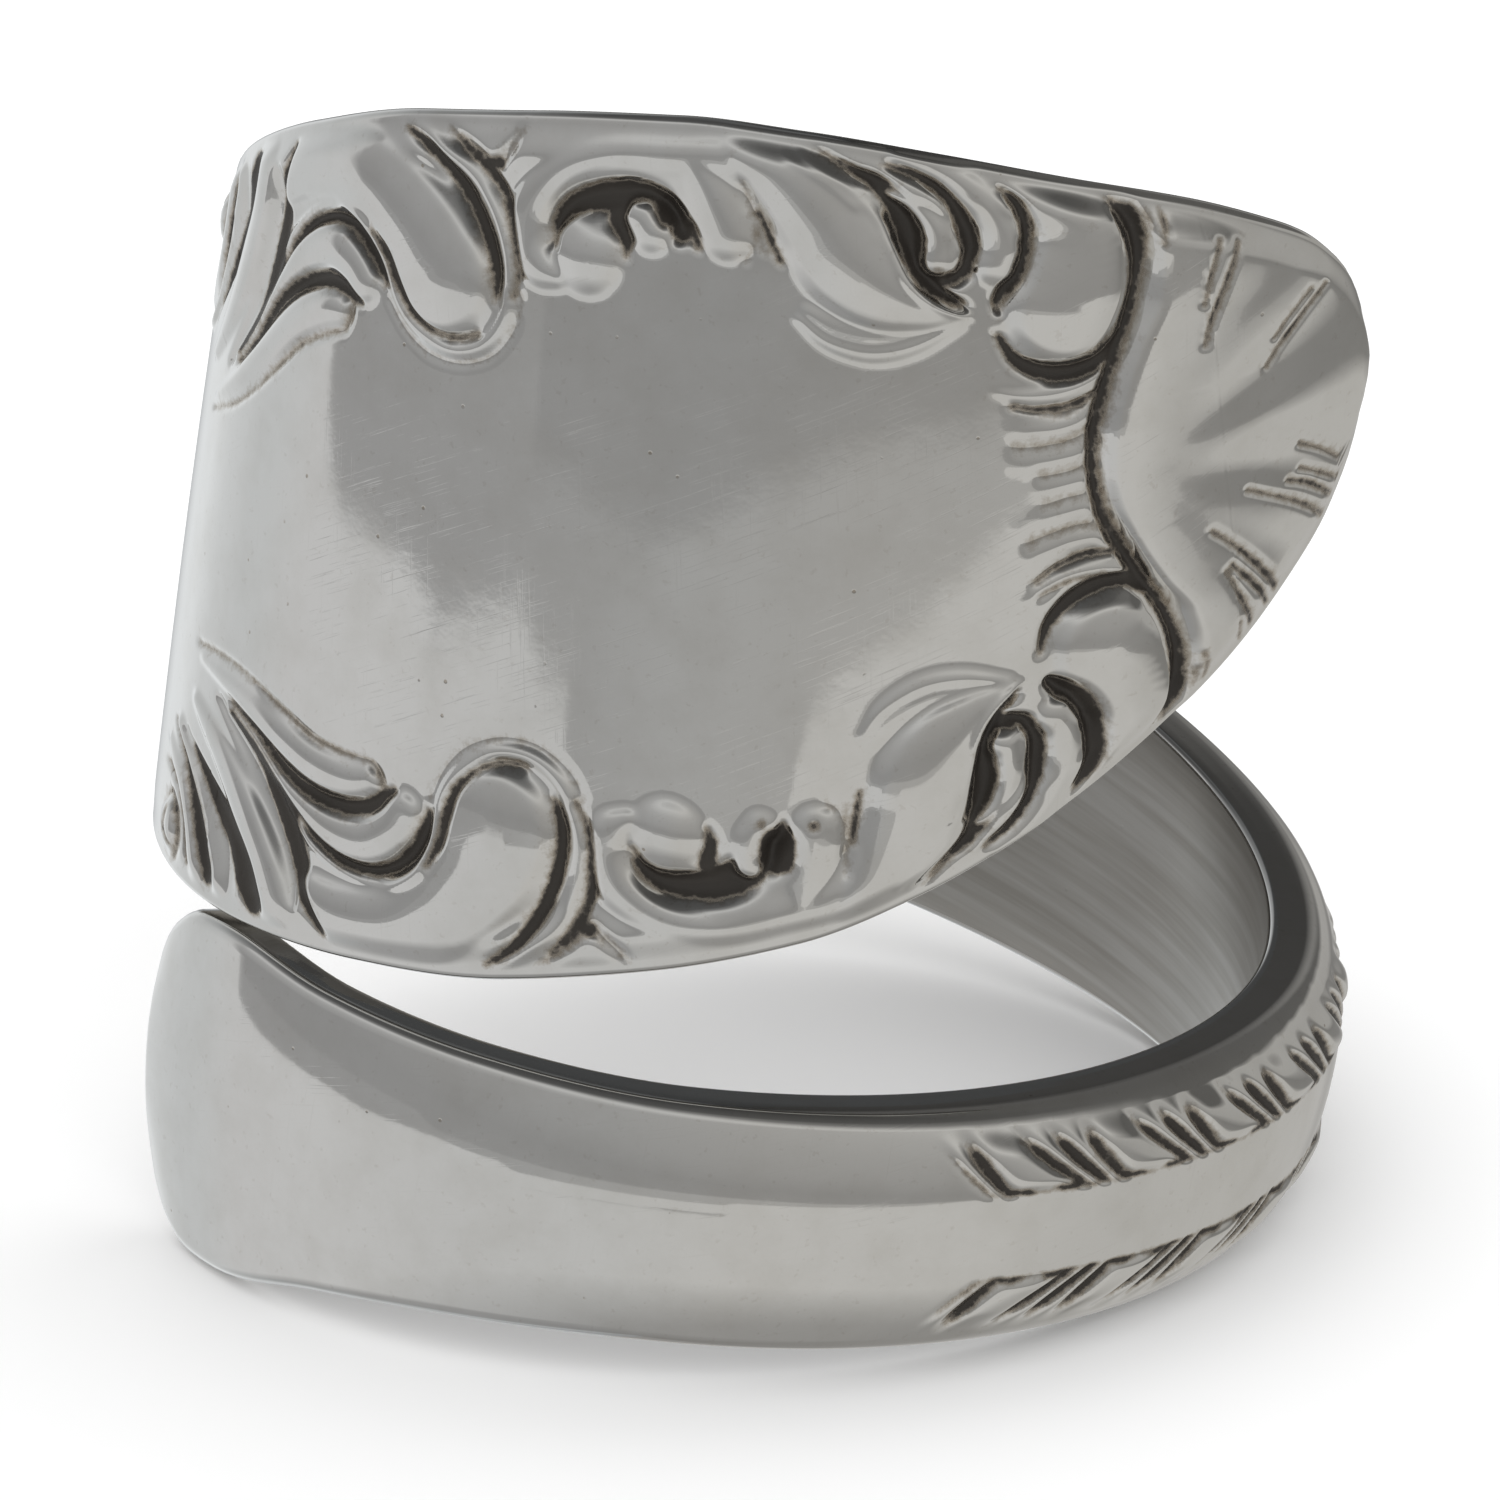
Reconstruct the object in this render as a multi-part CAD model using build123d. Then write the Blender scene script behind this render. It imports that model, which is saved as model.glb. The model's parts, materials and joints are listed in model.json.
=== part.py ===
from build123d import *
import math
import os

import numpy as np

# Spoon ring: the handle of a spoon, cut off at its neck and wound once and a third round a finger.
# It lies on its side as it comes to rest, with +Z up and its wide decorated end to the front, at -Y.
# The origin is on the surface, under the middle of its box. Lengths are in millimetres.

# Driving sizes, with lengths along the handle measured on its outer face
bore_radius = 8.7
panel_wall = 1.5
stem_wall = 1.5
end_wall = 0.85
panel_length = 28.0
panel_width = 14.0
stem_length = 60.5
stem_width = 4.3
end_width = 6.0

# How the handle is wound: where the tip lies, right of the front, and how steeply each part climbs
tip_turn_deg = 56.5
panel_slope_deg = 16.3
stem_slope_deg = 2.6

# Heights and roundings of the outer face
panel_dish = 0.08
stem_crown = 0.9
end_crown = 0.22
panel_shoulder = 0.18
stem_shoulder = 0.45
bore_stock = 0.25
panel_back_crown = 0.85
stem_back_crown = 0.3
end_back_crown = 0.05
relief_height = 0.3
recess_depth = 0.2
shell_lip = 0.3
shell_flute = 0.12
gadroon_height = 0.2
gadroon_pitch = 2.1
gadroon_slant = 1.0
gadroon_start = 1.5
gadroon_fade = 2.0
plain_end = 16.2
centre_strip = 1.5
edge_blend = 0.5
join_blend = 1.0
tip_blend_start = 0.3
tip_blend_end = 1.2
crown_power = 2.2

# Where the stem's own section is reached and where the flare begins and ends, as shares of the handle
stem_settled = 0.52
flare_start = 0.72
flare_full = 0.95

# Places of the finger cylinder's seam that the cut is tried with, in this order
seam_turns_deg = (0, 45, 90, 135, 225, 270, 315)

# Spacing of the sections, and how many points each has across its outer and its inner face
panel_spacing = 0.27
stem_spacing = 0.35
plain_spacing = 1.0
outer_count = 61
inner_count = 13
edge_crowding = 1.35

# Steps of the ornament's tables: one in 28 of the panel's length, one in 14 of its width
step_along = panel_length / 28
step_across = panel_width / 14
ornament_middle = 10.5 * step_along
handle_length = panel_length + stem_length
face_radius = bore_radius + stem_wall

# Panel outline from the tip. along: steps from the tip. half: half-width in steps across.
panel_outline = [
    (0.0, 0.0),
    (0.1, 0.8),
    (0.25, 1.3),
    (0.5, 1.8),
    (0.9, 2.3),
    (1.3, 2.7),
    (2.0, 3.2),
    (3.5, 4.08),
    (5.5, 4.98),
    (7.5, 5.78),
    (9.5, 6.42),
    (11.5, 6.85),
    (14.0, 7.02),
    (16.5, 7.05),
    (19.5, 6.8),
    (22.5, 6.38),
    (24.5, 6.0),
    (28.0, 5.15),
]

# Stem from the panel to the cut neck. along: share of its length. panel, end: how much of the
# width at the panel's end or at the flared end is added to the stem's. climb: share of the
# panel's slope.
stem_outline = [
    (0.00, 1.00, 0.00, 1.00),
    (0.10, 0.65, 0.00, 0.97),
    (0.20, 0.42, 0.00, 0.86),
    (0.33, 0.26, 0.00, 0.56),
    (0.45, 0.11, 0.00, 0.20),
    (0.56, 0.00, 0.00, 0.03),
    (0.66, 0.00, 0.00, 0.00),
    (0.80, 0.00, 0.03, 0.00),
    (0.86, 0.00, 0.22, 0.06),
    (0.91, 0.00, 0.55, 0.18),
    (0.955, 0.00, 1.00, 0.28),
    (0.972, 0.00, 0.95, 0.28),
    (0.986, 0.00, 0.55, 0.28),
    (0.994, 0.00, 0.05, 0.28),
    (0.998, 0.00, -0.50, 0.28),
    (1.000, 0.00, -1.10, 0.28),
]

# Raised lobes of the upper half of the panel, which the lower half mirrors. Each is a rounded
# ridge along a bent line. line: points (along, across) in steps from the ornament's middle,
# along towards the tip. half: half-width at each point, in steps. rise: share of the relief.
lobes = [
    ("teardrop", [(-9.9, 5.7), (-8.3, 6.05), (-6.9, 5.6), (-5.9, 4.7), (-5.55, 4.25)],
     [0.55, 0.75, 0.9, 0.95, 0.95], 1.0),
    ("inner leaf", [(-12.4, 2.75), (-10.8, 3.65), (-9.6, 4.5), (-8.5, 4.8), (-7.45, 4.35)],
     [0.15, 0.3, 0.42, 0.48, 0.42], 0.9),
    ("lower leaf", [(-13.4, 2.2), (-11.6, 2.65), (-10.0, 3.35), (-8.9, 3.8), (-8.15, 3.8)],
     [0.15, 0.3, 0.4, 0.42, 0.32], 0.75),
    ("first flute", [(-13.6, 2.6), (-12.1, 3.7), (-11.2, 4.7), (-10.7, 5.9)],
     [0.15, 0.36, 0.45, 0.42], 0.65),
    ("second flute", [(-14.3, 3.1), (-13.2, 4.2), (-12.5, 5.2), (-12.2, 5.7)],
     [0.15, 0.33, 0.42, 0.4], 0.6),
    ("third flute", [(-15.2, 3.2), (-14.4, 3.9), (-13.7, 4.7), (-13.4, 5.4)],
     [0.15, 0.3, 0.4, 0.35], 0.55),
    ("fourth flute", [(-16.2, 3.2), (-15.5, 3.8), (-14.9, 4.5), (-14.6, 5.1)],
     [0.15, 0.28, 0.36, 0.3], 0.5),
    ("scroll", [(0.2, 6.25), (-1.8, 6.5), (-3.3, 6.2), (-3.85, 5.2), (-3.6, 4.5), (-3.0, 4.25)],
     [0.5, 0.45, 0.42, 0.36, 0.38, 0.36], 0.9),
    ("scroll ball", [(-2.75, 4.75), (-2.65, 4.85)], [0.45, 0.4], 1.0),
    ("bead", [(-1.75, 5.15), (-1.65, 5.2)], [0.44, 0.44], 0.9),
    ("tongue", [(-1.3, 6.3), (-0.75, 5.7), (-0.55, 5.1), (-0.5, 4.85)],
     [0.35, 0.42, 0.45, 0.42], 0.9),
    ("acanthus", [(0.2, 6.1), (0.9, 5.2), (1.25, 4.3), (1.9, 3.55), (2.8, 3.15)],
     [0.55, 0.78, 0.85, 0.65, 0.25], 1.0),
    ("small lobe", [(1.9, 5.9), (2.5, 5.2), (2.75, 4.6), (2.75, 4.2)],
     [0.2, 0.27, 0.3, 0.3], 0.75),
    ("middle lobe", [(2.3, 6.05), (3.2, 5.4), (3.6, 4.7), (3.55, 4.05)],
     [0.22, 0.32, 0.38, 0.38], 0.85),
    ("large lobe", [(2.4, 6.35), (4.0, 5.6), (4.9, 4.7), (4.85, 3.6), (4.6, 2.9)],
     [0.25, 0.45, 0.65, 0.9, 0.95], 1.0),
]

# Recesses between the lobes, in the same columns. rise: share of the recess depth.
recesses = [
    ("beside the teardrop", [(-6.3, 6.7), (-5.0, 6.0), (-4.6, 5.0), (-4.7, 4.2)],
     [0.2, 0.3, 0.3, 0.2], 0.8),
    ("under the teardrop", [(-10.3, 4.3), (-9.0, 5.3), (-7.6, 5.3), (-6.75, 4.3), (-6.3, 3.7)],
     [0.15, 0.22, 0.25, 0.25, 0.15], 1.0),
    ("inside the scroll", [(-3.5, 4.9), (-3.2, 5.5), (-2.3, 5.85), (-1.5, 5.75), (-1.1, 5.1)],
     [0.18, 0.26, 0.28, 0.26, 0.2], 1.0),
    ("beside the acanthus", [(1.8, 5.9), (2.2, 5.2), (2.35, 4.5), (2.6, 3.7)],
     [0.15, 0.24, 0.26, 0.3], 1.0),
    ("between the lobes", [(2.6, 5.7), (3.1, 5.0), (3.2, 4.3), (3.15, 3.8)],
     [0.15, 0.22, 0.24, 0.24], 1.0),
    ("round the large lobe", [(3.95, 5.0), (4.2, 4.4), (4.0, 3.7), (3.6, 3.3)],
     [0.14, 0.2, 0.22, 0.2], 1.0),
    ("under the large lobe", [(3.5, 2.5), (4.0, 1.95), (4.7, 1.85), (5.3, 2.1)],
     [0.12, 0.18, 0.18, 0.14], 0.9),
]

# Rim of the shell at the tip. across: steps from the middle. along: steps from the
# ornament's middle towards the tip.
shell_rim = [
    (0.0, 4.7),
    (0.7, 4.8),
    (1.4, 5.05),
    (2.1, 5.45),
    (2.8, 5.9),
    (3.5, 6.05),
    (4.3, 5.9),
    (5.0, 5.3),
    (5.6, 4.6),
]
shell_heart = 4.0
shell_flute_count = 9


def through(table, column, where):
    """Smooth curve through one column of a table, over its first column."""
    knots = np.array([row[0] for row in table], dtype=float)
    values = np.array([row[column] for row in table], dtype=float)
    steps = np.diff(knots)
    rises = np.diff(values) / steps
    slopes = np.zeros(len(knots))
    slopes[0] = rises[0]
    slopes[-1] = rises[-1]
    before, after = rises[:-1], rises[1:]
    same_way = before * after > 0
    gap = np.where(same_way, before + after, 1.0)
    slopes[1:-1] = np.where(same_way, 2 * before * after / gap, 0.0)
    where = np.clip(where, knots[0], knots[-1])
    at = np.clip(np.searchsorted(knots, where, side="right") - 1, 0, len(steps) - 1)
    u = (where - knots[at]) / steps[at]
    rise = (3 - 2 * u) * u * u
    start_bend = u * (1 - u) ** 2 * steps[at]
    end_bend = u * u * (u - 1) * steps[at]
    bend = slopes[at] * start_bend + slopes[at + 1] * end_bend
    return values[at] + (values[at + 1] - values[at]) * rise + bend


def ease(low, high, where):
    """Smooth step from 0 at low to 1 at high."""
    u = np.clip((where - low) / (high - low), 0.0, 1.0)
    return u * u * (3 - 2 * u)


def half_width(along):
    """Half the handle's width at a distance from the tip."""
    panel = step_across * through(panel_outline, 1, along / step_along)
    share = (along - panel_length) / stem_length
    joined = step_across * panel_outline[-1][1]
    stem = stem_width / 2
    stem = stem + through(stem_outline, 1, share) * (joined - stem_width / 2)
    stem = stem + through(stem_outline, 2, share) * (end_width - stem_width) / 2
    return np.where(along < panel_length, panel, stem)


def blend(along, panel, stem, end):
    """A size that changes from the panel's, over the stem's, to the flared end's."""
    panel_end = panel_length / handle_length
    table = [
        (0.0, panel),
        (panel_end, panel),
        (stem_settled, stem),
        (flare_start, stem),
        (flare_full, end),
        (1.0, end),
    ]
    return through(table, 1, along / handle_length)


def path_points(line, half):
    """Points and half-widths along a ridge's bent line, rounded between its corners."""
    rows = [(index, point[0], point[1], width) for index, (point, width) in enumerate(zip(line, half))]
    where = np.linspace(0, len(rows) - 1, 5 * len(rows))
    return through(rows, 1, where), through(rows, 2, where), through(rows, 3, where)


def ridge(along, across, line, half):
    """Rounded ridge of height 1 over points of the ornament, in steps."""
    x, y, width = path_points(line, half)
    height = np.zeros(np.broadcast(along, across).shape)
    for index in range(len(x) - 1):
        dx, dy = x[index + 1] - x[index], y[index + 1] - y[index]
        reach = dx * dx + dy * dy
        share = np.clip(((along - x[index]) * dx + (across - y[index]) * dy) / reach, 0.0, 1.0)
        off_x = along - x[index] - share * dx
        off_y = across - y[index] - share * dy
        local = width[index] + share * (width[index + 1] - width[index])
        height = np.maximum(height, 1 - (off_x ** 2 + off_y ** 2) / local ** 2)
    return height


def shell(along, across):
    """Fluted shell that covers the tip, in steps."""
    behind = along - through(shell_rim, 1, np.abs(across))
    lip = shell_lip * ease(0.0, 0.5, behind) * (1 - 0.75 * ease(0.5, 5.5, behind))
    turn = np.arctan2(across, along - shell_heart)
    flutes = shell_flute * np.cos(shell_flute_count * turn) * ease(0.3, 3.0, behind)
    return lip + flutes * np.minimum(1.0, 0.4 + 0.12 * np.abs(behind))


def panel_relief(along, across):
    """Height of the panel's ornament above its plain field."""
    x = (ornament_middle - along) / step_along
    y = np.abs(across) / step_across
    raised = np.zeros(np.broadcast(x, y).shape)
    for _, line, half, rise in lobes:
        raised = np.maximum(raised, relief_height * rise * ridge(x, y, line, half))
    sunk = np.zeros(raised.shape)
    for _, line, half, rise in recesses:
        sunk = np.maximum(sunk, recess_depth * rise * ridge(x, y, line, half))
    return np.maximum(raised, shell(x, across / step_across)) - sunk


def stem_relief(along, across):
    """Height of the slanting gadroons along both edges of the stem."""
    strip = centre_strip / 2
    out = (np.abs(across) - strip) / (half_width(along) - strip)
    wave = (along - gadroon_slant * (np.abs(across) - strip)) / gadroon_pitch
    bulge = np.sqrt(np.abs(np.cos(math.pi * wave)) + 0.02) - 0.55
    first = panel_length + gadroon_start
    last = handle_length - plain_end
    ends = ease(first, first + gadroon_fade, along) * (1 - ease(last - gadroon_fade / 2, last, along))
    return gadroon_height * bulge * ends * ease(0.0, 0.35, out)


def outer_radius(along, across, half):
    """Radius of the outer face, with its crown, its rounded shoulders and its ornament."""
    crown = blend(along, 0.0, stem_crown, end_crown)
    dish = blend(along, panel_dish, 0.0, 0.0)
    share = np.abs(across) / half
    edge = np.minimum(blend(along, panel_shoulder, stem_shoulder, stem_shoulder), 0.8 * half)
    inside = np.clip(half - np.abs(across), 0.0, edge)
    shoulder = edge - np.sqrt(edge ** 2 - (edge - inside) ** 2)
    on_panel = 1 - ease(panel_length - join_blend, panel_length + join_blend, along)
    relief = panel_relief(along, across) * on_panel + stem_relief(along, across)
    relief = relief * ease(0.0, edge_blend, half - np.abs(across))
    relief = relief * ease(tip_blend_start, tip_blend_end, half)
    return face_radius - dish * (1 - share ** 2) - crown * share ** crown_power - shoulder + relief


def centreline():
    """Turn and height of the handle's middle line, tabled over the distance from the tip."""
    along = np.linspace(0.0, handle_length, 800)
    share = (along - panel_length) / stem_length
    climb = np.where(share < 0, 1.0, through(stem_outline, 3, share))
    slope = np.radians(stem_slope_deg + (panel_slope_deg - stem_slope_deg) * climb)
    pace = np.diff(along)
    middle = (slope[1:] + slope[:-1]) / 2
    back = np.concatenate([[0.0], np.cumsum(pace * np.cos(middle))])
    down = np.concatenate([[0.0], np.cumsum(pace * np.sin(middle))])
    turn = math.radians(tip_turn_deg) - back / face_radius
    return along, turn, -down, slope


def wind(along, across, radius, line):
    """Wrap points of the flat handle round the finger's axis."""
    turn = np.interp(along, line[0], line[1])
    height = np.interp(along, line[0], line[2])
    slope = np.interp(along, line[0], line[3])
    angle = turn - across * np.sin(slope) / face_radius
    z = height + across * np.cos(slope)
    return np.stack([radius * np.sin(angle), -radius * np.cos(angle), z + 0 * radius], axis=-1)


def stations():
    """Distances from the tip at which the handle's section is drawn."""
    tip = np.array([0.15, 0.45, 0.95, 1.6, 2.4, 3.5]) * panel_spacing
    plain_start = handle_length - plain_end
    panel = np.arange(tip[-1] + panel_spacing, panel_length, panel_spacing)
    stem = np.arange(panel_length, plain_start, stem_spacing)
    plain = np.arange(plain_start, handle_length - plain_spacing, plain_spacing)
    end = handle_length - np.array([1.0, 0.7, 0.45, 0.25, 0.1, 0.02]) * plain_spacing
    return np.concatenate([tip, panel, stem, plain, end])


def sections():
    """Outer and inner point rows of every section, wound round the finger's axis."""
    line = centreline()
    spread = np.linspace(-1.0, 1.0, outer_count)
    share = np.sin(edge_crowding * spread) / math.sin(edge_crowding)
    inner_share = np.linspace(1.0, -1.0, inner_count)
    outer, inner = [], []
    for along in stations():
        half = float(half_width(np.array(along)))
        across = half * share
        radius = outer_radius(along, across, half)
        outer.append(wind(along, across, radius, line))
        across = half * inner_share
        crown = blend(along, panel_back_crown, stem_back_crown, end_back_crown)
        lift = crown * np.abs(inner_share) ** crown_power
        wall = blend(along, panel_wall + bore_stock, stem_wall + bore_stock, end_wall)
        inner.append(wind(along, across, face_radius - wall + lift, line))
    return np.array(outer), np.array(inner)


def flatten(outer, inner):
    """Press an end section into one plane, so that it closes flat."""
    rows = np.concatenate([outer, inner])
    middle = rows.mean(axis=0)
    normal = np.linalg.svd(rows - middle)[2][2]
    rows = rows - np.outer((rows - middle) @ normal, normal)
    return rows[: len(outer)], rows[len(outer):]


def seat(points, centre):
    """Rotation that sets the points down as they rest, with their centre as low as it goes."""
    lean = np.zeros(2)
    reach = 0.4
    while reach > 1e-6:
        tries = np.linspace(-reach, reach, 9)
        ways = np.array([(lean[0] + x, lean[1] + y, -1.0) for x in tries for y in tries])
        ways = ways / np.linalg.norm(ways, axis=1)[:, None]
        height = ((points - centre) @ ways.T).max(axis=0)
        down = ways[np.argmin(height)]
        lean = down[:2] / -down[2]
        reach = reach * 0.5
    axis = np.cross(-down, [0.0, 0.0, 1.0])
    turn = np.array([[0, -axis[2], axis[1]], [axis[2], 0, -axis[0]], [-axis[1], axis[0], 0]])
    return np.eye(3) + turn + turn @ turn / (1 - down[2])


def skin(outer, inner):
    """Solid lofted through all sections."""
    wires = []
    marks = list(np.linspace(0.0, 1.0, outer.shape[1]))
    inner_marks = list(np.linspace(0.0, 1.0, inner.shape[1]))
    for top, under in zip(outer, inner):
        face = [Vector(*point) for point in top]
        back = [Vector(*point) for point in under]
        edges = [
            Edge.make_spline(face, parameters=marks),
            Edge.make_line(face[-1], back[0]),
            Edge.make_spline(back, parameters=inner_marks),
            Edge.make_line(back[-1], face[0]),
        ]
        wires.append(Wire(edges))
    return Solid.make_loft(wires)


def build():
    """The ring as it rests, and the finger's axis in the same frame."""
    outer, inner = sections()
    outer[0], inner[0] = flatten(outer[0], inner[0])
    outer[-1], inner[-1] = flatten(outer[-1], inner[-1])
    points = np.concatenate([outer.reshape(-1, 3), inner.reshape(-1, 3)])
    centre = skin(outer, inner).center(CenterOf.MASS)
    turn = seat(points, np.array([centre.X, centre.Y, centre.Z]))
    placed = points @ turn.T
    low, high = placed.min(axis=0), placed.max(axis=0)
    shift = np.array([-(low[0] + high[0]) / 2, -(low[1] + high[1]) / 2, -low[2]])
    middle = (points[:, 2].min() + points[:, 2].max()) / 2
    bore_middle = turn @ np.array([0.0, 0.0, middle]) + shift
    ring = skin(outer @ turn.T + shift, inner @ turn.T + shift)
    return bored(ring, bore_middle, turn[:, 2], np.ptp(points[:, 2])), bore_middle, turn


def bored(ring, middle, axis, height):
    """The ring with the finger's cylinder cut out, which sizes its inside.

    The cylinder's seam is turned on where the cut doesn't close at the first place.
    """
    foot = Plane(origin=Vector(*(middle - height * axis)), z_dir=Vector(*axis))
    for seam in seam_turns_deg:
        cylinder = Solid.make_cylinder(bore_radius, 2 * height, foot.rotated((0, 0, seam)))
        try:
            cut = ring.cut(cylinder)
        except ValueError:
            continue
        if cut.is_valid:
            return cut
    raise ValueError("the finger's cylinder leaves no closed ring")


ring, bore_middle, turn = build()
ring.label = "spoon_ring"
os.makedirs("parts", exist_ok=True)
export_step(ring, "parts/spoon_ring.step")
box = ring.bounding_box()
print("size", box.size, "low", box.min, "volume", round(ring.volume, 2), "valid", ring.is_valid)
print("bore middle", np.round(bore_middle, 4), "axis", np.round(turn[:, 2], 6))
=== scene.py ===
import json
import logging
import math
from dataclasses import dataclass
from enum import Enum

import bpy
import numpy as np
from mathutils import Matrix, Vector


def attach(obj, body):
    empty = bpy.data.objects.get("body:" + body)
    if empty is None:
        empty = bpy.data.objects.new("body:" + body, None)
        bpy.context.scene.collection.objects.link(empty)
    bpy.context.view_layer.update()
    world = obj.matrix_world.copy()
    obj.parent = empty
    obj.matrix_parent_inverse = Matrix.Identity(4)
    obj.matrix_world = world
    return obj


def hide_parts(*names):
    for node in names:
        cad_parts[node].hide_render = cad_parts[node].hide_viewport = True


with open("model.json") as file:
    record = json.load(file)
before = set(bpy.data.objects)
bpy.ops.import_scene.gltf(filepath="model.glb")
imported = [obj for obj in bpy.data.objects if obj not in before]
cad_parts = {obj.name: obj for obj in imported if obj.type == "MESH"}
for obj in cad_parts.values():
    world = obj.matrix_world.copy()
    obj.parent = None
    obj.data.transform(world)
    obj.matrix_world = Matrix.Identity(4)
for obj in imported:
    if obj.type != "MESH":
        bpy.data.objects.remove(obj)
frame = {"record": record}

# Spoon ring: a spoon's handle wound once and a third round a finger, dressed as polished silver.
# Sizes of the ring and its ornament are in millimetres, and the mesh is made in metres.

log = logging.getLogger("spoon_ring")
MM = 0.001

# What nearness gives far from a stroke, the least half-widths, and how finely a stroke's line is rounded.
FAR = 9.0
FINEST_DOME = 0.02
FINEST_LINE = 0.045
CUTS_PER_SPAN = 6

# A Table has rows of numbers. A Span is where a soft step is 0 and where it is 1.
Table = tuple[tuple[float, ...], ...]
Span = tuple[float, float]
Triple = tuple[np.ndarray, np.ndarray, np.ndarray]
Quad = tuple[np.ndarray, np.ndarray, np.ndarray, np.ndarray]
Rgba = tuple[float, float, float, float]


class Form(Enum):
    """How a modelled line stands on or lies in the surface."""

    DOME = "dome"
    WIRE = "wire"
    GROOVE = "groove"
    HOLLOW = "hollow"
    BEAD = "bead"
    HOLE = "hole"


class Side(Enum):
    """Which half of the panel a modelled line is on."""

    BOTH = 0
    UPPER = 1
    LOWER = -1


@dataclass(frozen=True)
class Stroke:
    """One modelled line of the ornament, in millimetres from the ornament's middle.

    Each row of the line has a point's place along, towards the tip, its place across, away from the
    panel's middle line, and the stroke's half-width there. rise and dark are shares of the form's full
    height and of full tarnish.
    """

    name: str
    form: Form
    line: Table
    rise: float
    dark: float = 0.0
    side: Side = Side.BOTH

    @property
    def widest(self) -> float:
        """The largest half-width."""
        return max(row[2] for row in self.line)


def smooth_through(table: Table, column: int, where: np.ndarray) -> np.ndarray:
    """Smooth curve through one column of a table, over its first column.

    Args:
        table: Rows of numbers, with the first column rising.
        column: Which column is read.
        where: Values of the first column to read it at.

    Returns:
        The column's values there.
    """
    knots = np.array([row[0] for row in table], dtype=float)
    values = np.array([row[column] for row in table], dtype=float)
    steps = np.diff(knots)
    rises = np.diff(values) / steps
    slopes = np.zeros(len(knots))
    slopes[0] = rises[0]
    slopes[-1] = rises[-1]
    before, after = rises[:-1], rises[1:]
    same_way = before * after > 0
    gap = np.where(same_way, before + after, 1.0)
    slopes[1:-1] = np.where(same_way, 2 * before * after / gap, 0.0)
    where = np.clip(where, knots[0], knots[-1])
    at = np.clip(np.searchsorted(knots, where, side="right") - 1, 0, len(steps) - 1)
    u = (where - knots[at]) / steps[at]
    rise = (3 - 2 * u) * u * u
    bend = slopes[at] * u * (1 - u) ** 2 * steps[at] + slopes[at + 1] * u * u * (u - 1) * steps[at]
    return values[at] + (values[at + 1] - values[at]) * rise + bend


def ease(low: float, high: float, where: np.ndarray) -> np.ndarray:
    """Smooth step from 0 at low to 1 at high."""
    u = np.clip((where - low) / (high - low), 0.0, 1.0)
    return u * u * (3 - 2 * u)


def bowl(off: np.ndarray, reach: float | np.ndarray) -> np.ndarray:
    """Parabola that is 1 in the middle and 0 from reach on."""
    return np.clip(1 - (off / reach) ** 2, 0.0, 1.0)


def ridge(off: np.ndarray, breadth: float) -> np.ndarray:
    """Soft ridge that is 1 in the middle."""
    return np.exp(-(off / breadth) ** 2)


def soften(grid: np.ndarray, times: int) -> np.ndarray:
    """A grid smoothed with its neighbours along both ways, some times over.

    Args:
        grid: Rows of numbers.
        times: How many times over.

    Returns:
        The smoothed grid.
    """
    for _ in range(times):
        for axis in (0, 1):
            ahead = np.concatenate([np.take(grid, range(1, grid.shape[axis]), axis),
                                    np.take(grid, [-1], axis)], axis)
            behind = np.concatenate([np.take(grid, [0], axis),
                                     np.take(grid, range(grid.shape[axis] - 1), axis)], axis)
            grid = (ahead + 2 * grid + behind) / 4
    return grid


def finger_bore(record: dict) -> dict:
    """The mount that gives the finger's axis."""
    return next(mount for mount in record["mounts"] if mount["name"] == "finger_bore")


def rounded(points: np.ndarray, cuts: int) -> np.ndarray:
    """Bent line rounded through its own points.

    Args:
        points: Rows of numbers, one row for each point.
        cuts: How many steps each span is cut into.

    Returns:
        The finer line's rows.
    """
    ends = np.concatenate([2 * points[:1] - points[1:2], points, 2 * points[-1:] - points[-2:-1]])
    rows = []
    for index in range(1, len(ends) - 2):
        a, b, c, d = ends[index - 1], ends[index], ends[index + 1], ends[index + 2]
        for u in np.arange(cuts) / cuts:
            row = 2 * b + (c - a) * u + (2 * a - 5 * b + 4 * c - d) * u ** 2
            rows.append((row + (3 * b - a - 3 * c + d) * u ** 3) / 2)
    rows.append(points[-1])
    return np.array(rows)


def nearness(x: np.ndarray, y: np.ndarray, stroke: Stroke) -> Triple:
    """How near points lie to a stroke.

    Args:
        x: Distances along, of any shape.
        y: Distances across, of the same shape.
        stroke: The line that is measured to.

    Returns:
        Distance to the line as a share of its half-width, the distance in millimetres past that
        half-width, and that half-width as a share of the stroke's widest.
    """
    table = np.array(stroke.line, dtype=float)
    path = rounded(table, CUTS_PER_SPAN) if len(table) > 2 else table
    least = FINEST_DOME if stroke.form is Form.DOME else FINEST_LINE
    share = np.full(x.shape, FAR)
    past = np.full(x.shape, FAR)
    wide = np.zeros(x.shape)
    for start, stop in zip(path[:-1], path[1:]):
        dx, dy = stop[0] - start[0], stop[1] - start[1]
        reach = dx * dx + dy * dy + 1e-9
        at = np.clip(((x - start[0]) * dx + (y - start[1]) * dy) / reach, 0.0, 1.0)
        off = np.hypot(x - start[0] - at * dx, y - start[1] - at * dy)
        local = np.maximum(start[2] + at * (stop[2] - start[2]), least)
        wide = np.where(off / local < share, local, wide)
        share = np.minimum(share, off / local)
        past = np.minimum(past, off - local)
    return share, past, wide / stroke.widest


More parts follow.
